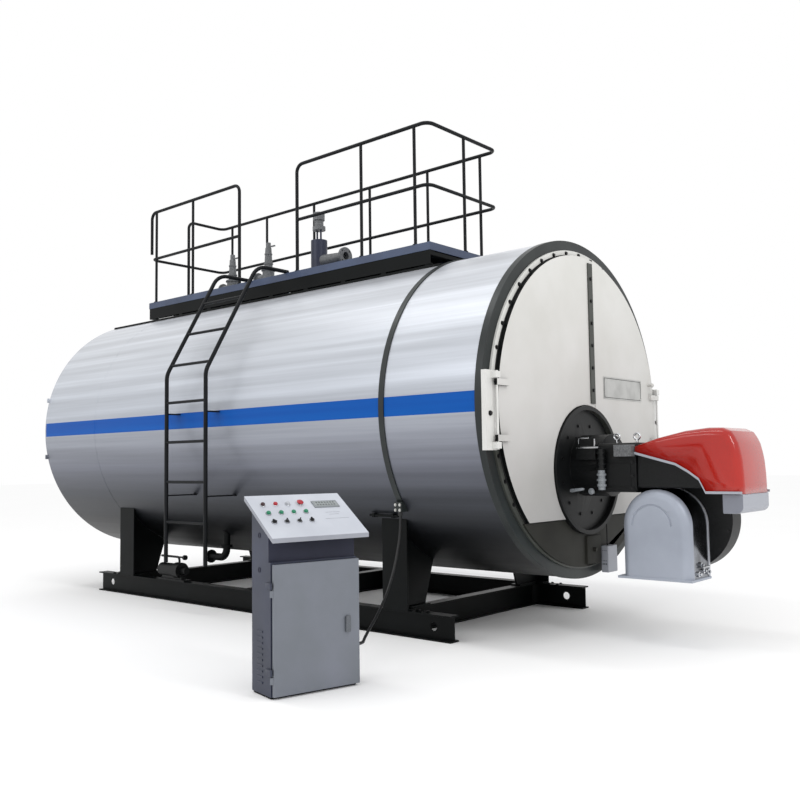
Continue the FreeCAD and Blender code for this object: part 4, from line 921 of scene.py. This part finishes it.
def addTread():
    pitch = deck["pitch"]
    points, side = [], []
    for i in range(int((deck["front"] - deck["rear"]) / pitch)):
        for j in range(int(2.0 * deck["half"] / pitch) + 1):
            points.append((deck["rear"] + pitch * (i + 0.5),
                           -deck["half"] + deck["border"] + pitch * j, deck["top"]))
            side.append(float((i + j) % 2))
    grown("deck_tread", checkerTread, pointMesh("treadPoints", points, "side", "FLOAT", side),
          {"Length": 0.034, "Width": 0.009, "Height": 0.003}, deckEnamel)


addTread()
rails = {"y": 0.457, "top": 3.8305, "mid": 3.3415, "rear": -2.018, "front": 1.684,
         "gapRear": -0.593, "gapFront": 0.2, "drop": 0.056, "bend": 0.07, "topRadius": 0.015,
         "midRadius": 0.014, "postRadius": 0.013, "postBend": 0.01,
         "nearPosts": (-1.935, -1.3126, 0.974, 1.5462),
         "farPosts": (-1.85, -1.2677, -0.544, 0.2235, 0.9337, 1.516)}


def addRails():
    y, top, mid, low = rails["y"], rails["top"], rails["mid"], deck["top"]
    rear, front, gapRear, gapFront = (rails[k] for k in ("rear", "front", "gapRear", "gapFront"))
    tubes("railing_top",
          [[(gapFront, -y, low), (gapFront, -y, top), (front, -y, top), (front, y, top),
            (rear, y, top), (rear, 0.0, top), (rear, 0.0, low)],
           [(gapRear, -y, low), (gapRear, -y, top), (rear, -y, top),
            (rear, -y, mid + rails["drop"])]],
          rails["topRadius"], rails["bend"], railEnamel, ("railing_elbows",))
    tubes("railing_middle",
          [[(gapFront, -y, mid), (front, -y, mid), (front, y, mid), (rear, y, mid),
            (rear, -y, mid), (gapRear, -y, mid)]],
          rails["midRadius"], rails["bend"], railEnamel, ("railing_bars",))
    posts = [(x, -y) for x in rails["nearPosts"]] + [(x, y) for x in rails["farPosts"]]
    posts.append((front, 0.0))
    tubes("railing_uprights", [[(x, side, low), (x, side, top)] for x, side in posts],
          rails["postRadius"], rails["postBend"], railEnamel, ("railing_posts",))
    foot = [(0.0, 0.013), (0.0, 0.024), (0.003, 0.024), (0.009, 0.0165), (0.009, 0.013)]
    feet = posts + [(gapFront, -y), (gapRear, -y), (rear, 0.0)]
    piece("railing_feet", lathed(*[(foot, (x, side, low), wayZ) for x, side in feet], steps=16),
          [railEnamel])


addRails()
stile = {"path": [(-1.320, 0.410), (-1.320, 1.968), (-0.784, 2.9035), (-0.435, 2.9035)],
         "radius": 0.017, "bend": 0.17, "sides": (-0.482, 0.052)}
tubes("ladder_side_rails", [[(x, y, z) for y, z in stile["path"]] for x in stile["sides"]],
      stile["radius"], stile["bend"], railEnamel, ("ladder_stiles",))
print("walkway made")


# fittings on the walkway

fromNodes(("safety_valve_rear", castGrey, 0.002), ("safety_valve_front", castGrey, 0.002),
          ("steam_outlet", castGrey, 0.002), ("manhole", paleBlue, 0.004))
steamValve = {"yokeFoot": 3.36, "bolt": (0.008, 0.008, 0.011)}
fromNode("steam_valve", [valveEnamel, castGrey], edge=0.002,
         pick=lambda face: 1 if face.calc_center_median().z > steamValve["yokeFoot"] else 0)
# flange bolts: x, seat, bolt circle, count
flanges = ((-1.269, 2.9435, 0.062, 6), (-0.715, 2.9735, 0.062, 6), (0.0, 2.9435, 0.080, 8))
flangeBolts = []
for x, seat, radius, count in flanges:
    flangeBolts += circle((x, 0.0, seat), radius, wayX, wayY, wayZ,
                          [360.0 * (i + 0.5) / count for i in range(count)])
fixings("valve_flange_bolts", flangeBolts, steamValve["bolt"], boltBlack)
manhole = {"x": -0.715, "cover": 2.9565, "boltCircle": 0.186, "bolts": 16,
           "bolt": (0.009, 0.008, 0.013)}
manholeBolts = circle((manhole["x"], 0.0, manhole["cover"]), manhole["boltCircle"], wayX, wayY,
                      wayZ, [360.0 / manhole["bolts"] * i for i in range(manhole["bolts"])])
fixings("manhole_bolts", manholeBolts, manhole["bolt"], boltZinc)
# bands on a safety valve: height over its base, thickness, inner and outer radius
valveBands = ((0.140, 0.008, 0.060, 0.0695), (0.205, 0.012, 0.035, 0.046),
              (0.300, 0.012, 0.028, 0.0385))
for name, x, base in (("rear", -1.269, 2.9265), ("front", -0.715, 2.9565)):
    piece("safety_valve_%s_bands" % name,
          lathed(*[([(z, inner), (z, outer), (z + thick, outer), (z + thick, inner)],
                    (x, 0.0, base), wayZ) for z, thick, inner, outer in valveBands], steps=32),
          [castGrey])
print("valves made")


# control cabinet

cabinet = {"corner": (2.354, -2.615), "turn": -13.5, "depth": 0.240, "front": 0.826,
           "nose": 0.040, "rise": 0.21 / 0.332, "plinthTop": 0.0099, "recess": 0.69,
           "buttonPitch": 0.076, "firstButton": 0.050, "rowPitch": 0.068, "firstRow": 0.028}
cabTurn = Matrix.Rotation(math.radians(cabinet["turn"]), 3, "Z")
cabTilt = math.atan(cabinet["rise"])
cabCorner = Vector((*cabinet["corner"], 0.0))
frontWay = cabTurn @ wayX
sideWay = cabTurn @ wayY
deskNormal = cabTurn @ Vector((math.sin(cabTilt), 0.0, math.cos(cabTilt)))
deskUp = deskNormal.cross(sideWay)


def cabPoint(depth, along, z):
    return cabTurn @ Vector((-depth, along, z)) + cabCorner


def deskPoint(depth, along, height):
    z = cabinet["front"] + (depth + cabinet["nose"]) * cabinet["rise"]
    return cabPoint(depth - height * math.sin(cabTilt), along, z + height * math.cos(cabTilt))


def bodyPaint(face):
    # black plinth, dark recess under the desk, slate elsewhere
    middle = face.calc_center_median()
    if middle.z < cabinet["plinthTop"]:
        return 2
    return 1 if face.normal.dot(frontWay) > 0.5 and middle.z > cabinet["recess"] else 0


def lockFace(face):
    # only the lock stands out in front of the door's face
    return 1 if (face.calc_center_median() - cabCorner).dot(frontWay) > 0.0005 else 0


fromNode("cabinet_body", [cabinetSide, recessPaint, blackEnamel], pick=bodyPaint)
fromNode("cabinet_door", [cabinetFront, lockGrey], "cabinet_leaf", 0.002, pick=lockFace)
fromNode("cabinet_console", [cabinetTop, consoleLip], edge=0.003,
         pick=lambda face: 0 if face.normal.dot(deskNormal) > 0.9 else 1)
fromNode("cable_glands", [darkMoulding], edge=0.001)


def panelButton(row, step):
    return deskPoint(cabinet["depth"] - cabinet["firstRow"] - cabinet["rowPitch"] * row,
                     cabinet["firstButton"] + cabinet["buttonPitch"] * step, 0.0)


# buttons: (height over the desk, radius) profiles
bezel = [(0.0, 0.0), (0.0, 0.0165), (0.003, 0.0165), (0.005, 0.0145), (0.005, 0.0)]
cap = [(0.004, 0.0), (0.004, 0.0125), (0.012, 0.0120), (0.0145, 0.0095), (0.0150, 0.0)]
mushroom = [(0.004, 0.0), (0.004, 0.009), (0.010, 0.009), (0.011, 0.019), (0.015, 0.0195),
            (0.0185, 0.015), (0.020, 0.0)]
skirt = [(0.004, 0.0), (0.004, 0.0125), (0.009, 0.0115), (0.009, 0.0)]
spots = [[panelButton(row, step) for step in range(4)] for row in range(3)]


def buttons(name, profile, places, material, nodes=()):
    piece(name, lathed(*[(profile, spot, deskNormal) for spot in places], steps=28), [material],
          nodes=nodes)


buttons("button_bezels", bezel, sum(spots, []), steelBright, ("cabinet_controls",))
buttons("button_maroon", cap, spots[0][:1], lampDark)
buttons("button_red", cap, spots[0][1:2], lampRed)
buttons("button_grey", cap, spots[0][2:3], lampGrey)
buttons("button_stop", mushroom, spots[0][3:], lampRed)
buttons("buttons_green", cap, spots[1], lampGreen)


def deskBar(bm, foot, up, across, size, height):
    # a flat bar standing on the desk: size is (along up, along across)
    corners = [foot + up * a * size[0] / 2.0 + across * b * size[1] / 2.0
               for a, b in ((-1, -1), (1, -1), (1, 1), (-1, 1))]
    addPrism(bm, corners, deskNormal * height)


knobs = {"turns": (-40.0, 10.0, 35.0, -15.0), "seat": 0.008, "size": (0.025, 0.007),
         "height": 0.010}


def selectorKnobs(bm):
    # round black skirt with a bar across it, turned a little
    for turn, spot in zip(knobs["turns"], spots[2]):
        addLathe(bm, skirt, spot, deskNormal, 28)
        angle = math.radians(turn)
        up = math.cos(angle) * deskUp + math.sin(angle) * sideWay
        deskBar(bm, spot + deskNormal * knobs["seat"], up, deskNormal.cross(up), knobs["size"],
                knobs["height"])


piece("selector_knobs", selectorKnobs, [darkMoulding], edge=0.0008)


def deskSlabs(*slabs):
    # thin plates lying on the desk: depth, place along it, size (up, across), foot, top
    def build(bm):
        for depth, along, size, low, high in slabs:
            deskBar(bm, deskPoint(depth, along, low), deskUp, sideWay, size, high - low)
    return build


screen = {"depth": 0.200, "along": 0.435, "frame": (0.062, 0.162), "window": (0.044, 0.140),
          "cell": (0.011, 0.010), "pitch": 0.018}
lines = {"along": 0.445, "thick": 0.0022, "rows": ((0.135, 0.090), (0.085, 0.150), (0.118, 0.060))}
cells = [(screen["depth"] + screen["pitch"] * (0.5 - j),
          screen["along"] + screen["pitch"] * (i - 3), screen["cell"], 0.006, 0.0068)
         for i in range(7) for j in range(2)]  # plain blocks, no characters
piece("display_bezel", deskSlabs((screen["depth"], screen["along"], screen["frame"], 0.0, 0.0055)),
      [screenGlass], edge=0.0015)
piece("display_window",
      deskSlabs((screen["depth"], screen["along"], screen["window"], 0.005, 0.0063)), [screenDark])
piece("display_cells", deskSlabs(*cells), [screenInk])
piece("desk_lines", deskSlabs(*[(depth, lines["along"], (lines["thick"], width), 0.0, 0.0006)
                                for depth, width in lines["rows"]]), [consoleInk])
flank = {"knockoutDepth": 0.150, "knockouts": (0.831, 0.650), "louvreDepth": 0.146,
         "firstLouvre": 0.07, "louvrePitch": 0.029, "louvres": 10}
knockout = [(-0.001, 0.0), (-0.001, 0.015), (0.0022, 0.0145), (0.0022, 0.011), (0.0008, 0.0105),
            (0.0008, 0.0)]
piece("cabinet_knockouts", lathed(*[(knockout, cabPoint(flank["knockoutDepth"], 0.0, z), -sideWay)
                                    for z in flank["knockouts"]], steps=28), [recessPaint])
louvres = [cabPoint(flank["louvreDepth"], 0.0, flank["firstLouvre"] + flank["louvrePitch"] * i)
           for i in range(flank["louvres"])]
grown("cabinet_louvres", pressedLouvre, pointMesh("louvrePoints", louvres),
      {"Length": 0.062, "Lift": 0.007, "Rise": 0.012, "Turn": math.radians(cabinet["turn"])},
      cabinetSide)
print("cabinet made")


# floor and light

studio = {"paper": "#fcfcfc", "shade": "#fbfbfb", "half": 60.0, "sky": 1.0}


def addStage():
    # matt white paper floor under an even white sky
    material, tree, shader, place = newMaterial("matWhitePaperFloor", Roughness=1.0,
                                                Specular_IOR_Level=0.0)
    tint = mottle(tree, place, 0.4, 2.0, [(0.3, studio["shade"]), (0.7, studio["paper"])])[1]
    connect(tree, shader, Base_Color=tint)
    half = studio["half"]
    mesh = bpy.data.meshes.new("floor")
    mesh.from_pydata([(-half, -half, 0), (half, -half, 0), (half, half, 0), (-half, half, 0)], [],
                     [(0, 1, 2, 3)])
    floor = bpy.data.objects.new("floor", mesh)
    scene.collection.objects.link(floor)
    mesh.materials.append(material)
    world = bpy.data.worlds.new("studio")
    world.use_nodes = True
    sky = world.node_tree.nodes["Background"]
    sky.inputs["Color"].default_value = (1.0, 1.0, 1.0, 1.0)
    sky.inputs["Strength"].default_value = studio["sky"]
    scene.world = world


def addLamp(name, place, target, power, width, height):
    data = bpy.data.lights.new(name, "AREA")
    data.shape = "RECTANGLE"
    data.size = width
    data.size_y = height
    data.energy = power
    lamp = bpy.data.objects.new(name, data)
    scene.collection.objects.link(lamp)
    aim = (Vector(target) - Vector(place)).to_track_quat("-Z", "Y")
    lamp.matrix_world = Matrix.Translation(place) @ aim.to_matrix().to_4x4()


addStage()
# lamps: place, aim, watts, width, height
addLamp("overheadStrip", (0.0, -2.5, 8.0), (0.0, 0.0, 1.5), 120.0, 8.0, 0.8)
addLamp("sideKey", (-2.0, -9.0, 6.0), (0.0, 0.0, 1.6), 90.0, 5.0, 1.5)
addLamp("hoodStrip", (7.5, -2.0, 4.2), (3.7, 0.0, 1.2), 60.0, 0.5, 2.2)
scene.view_settings.view_transform = "Standard"
print("stage lit")
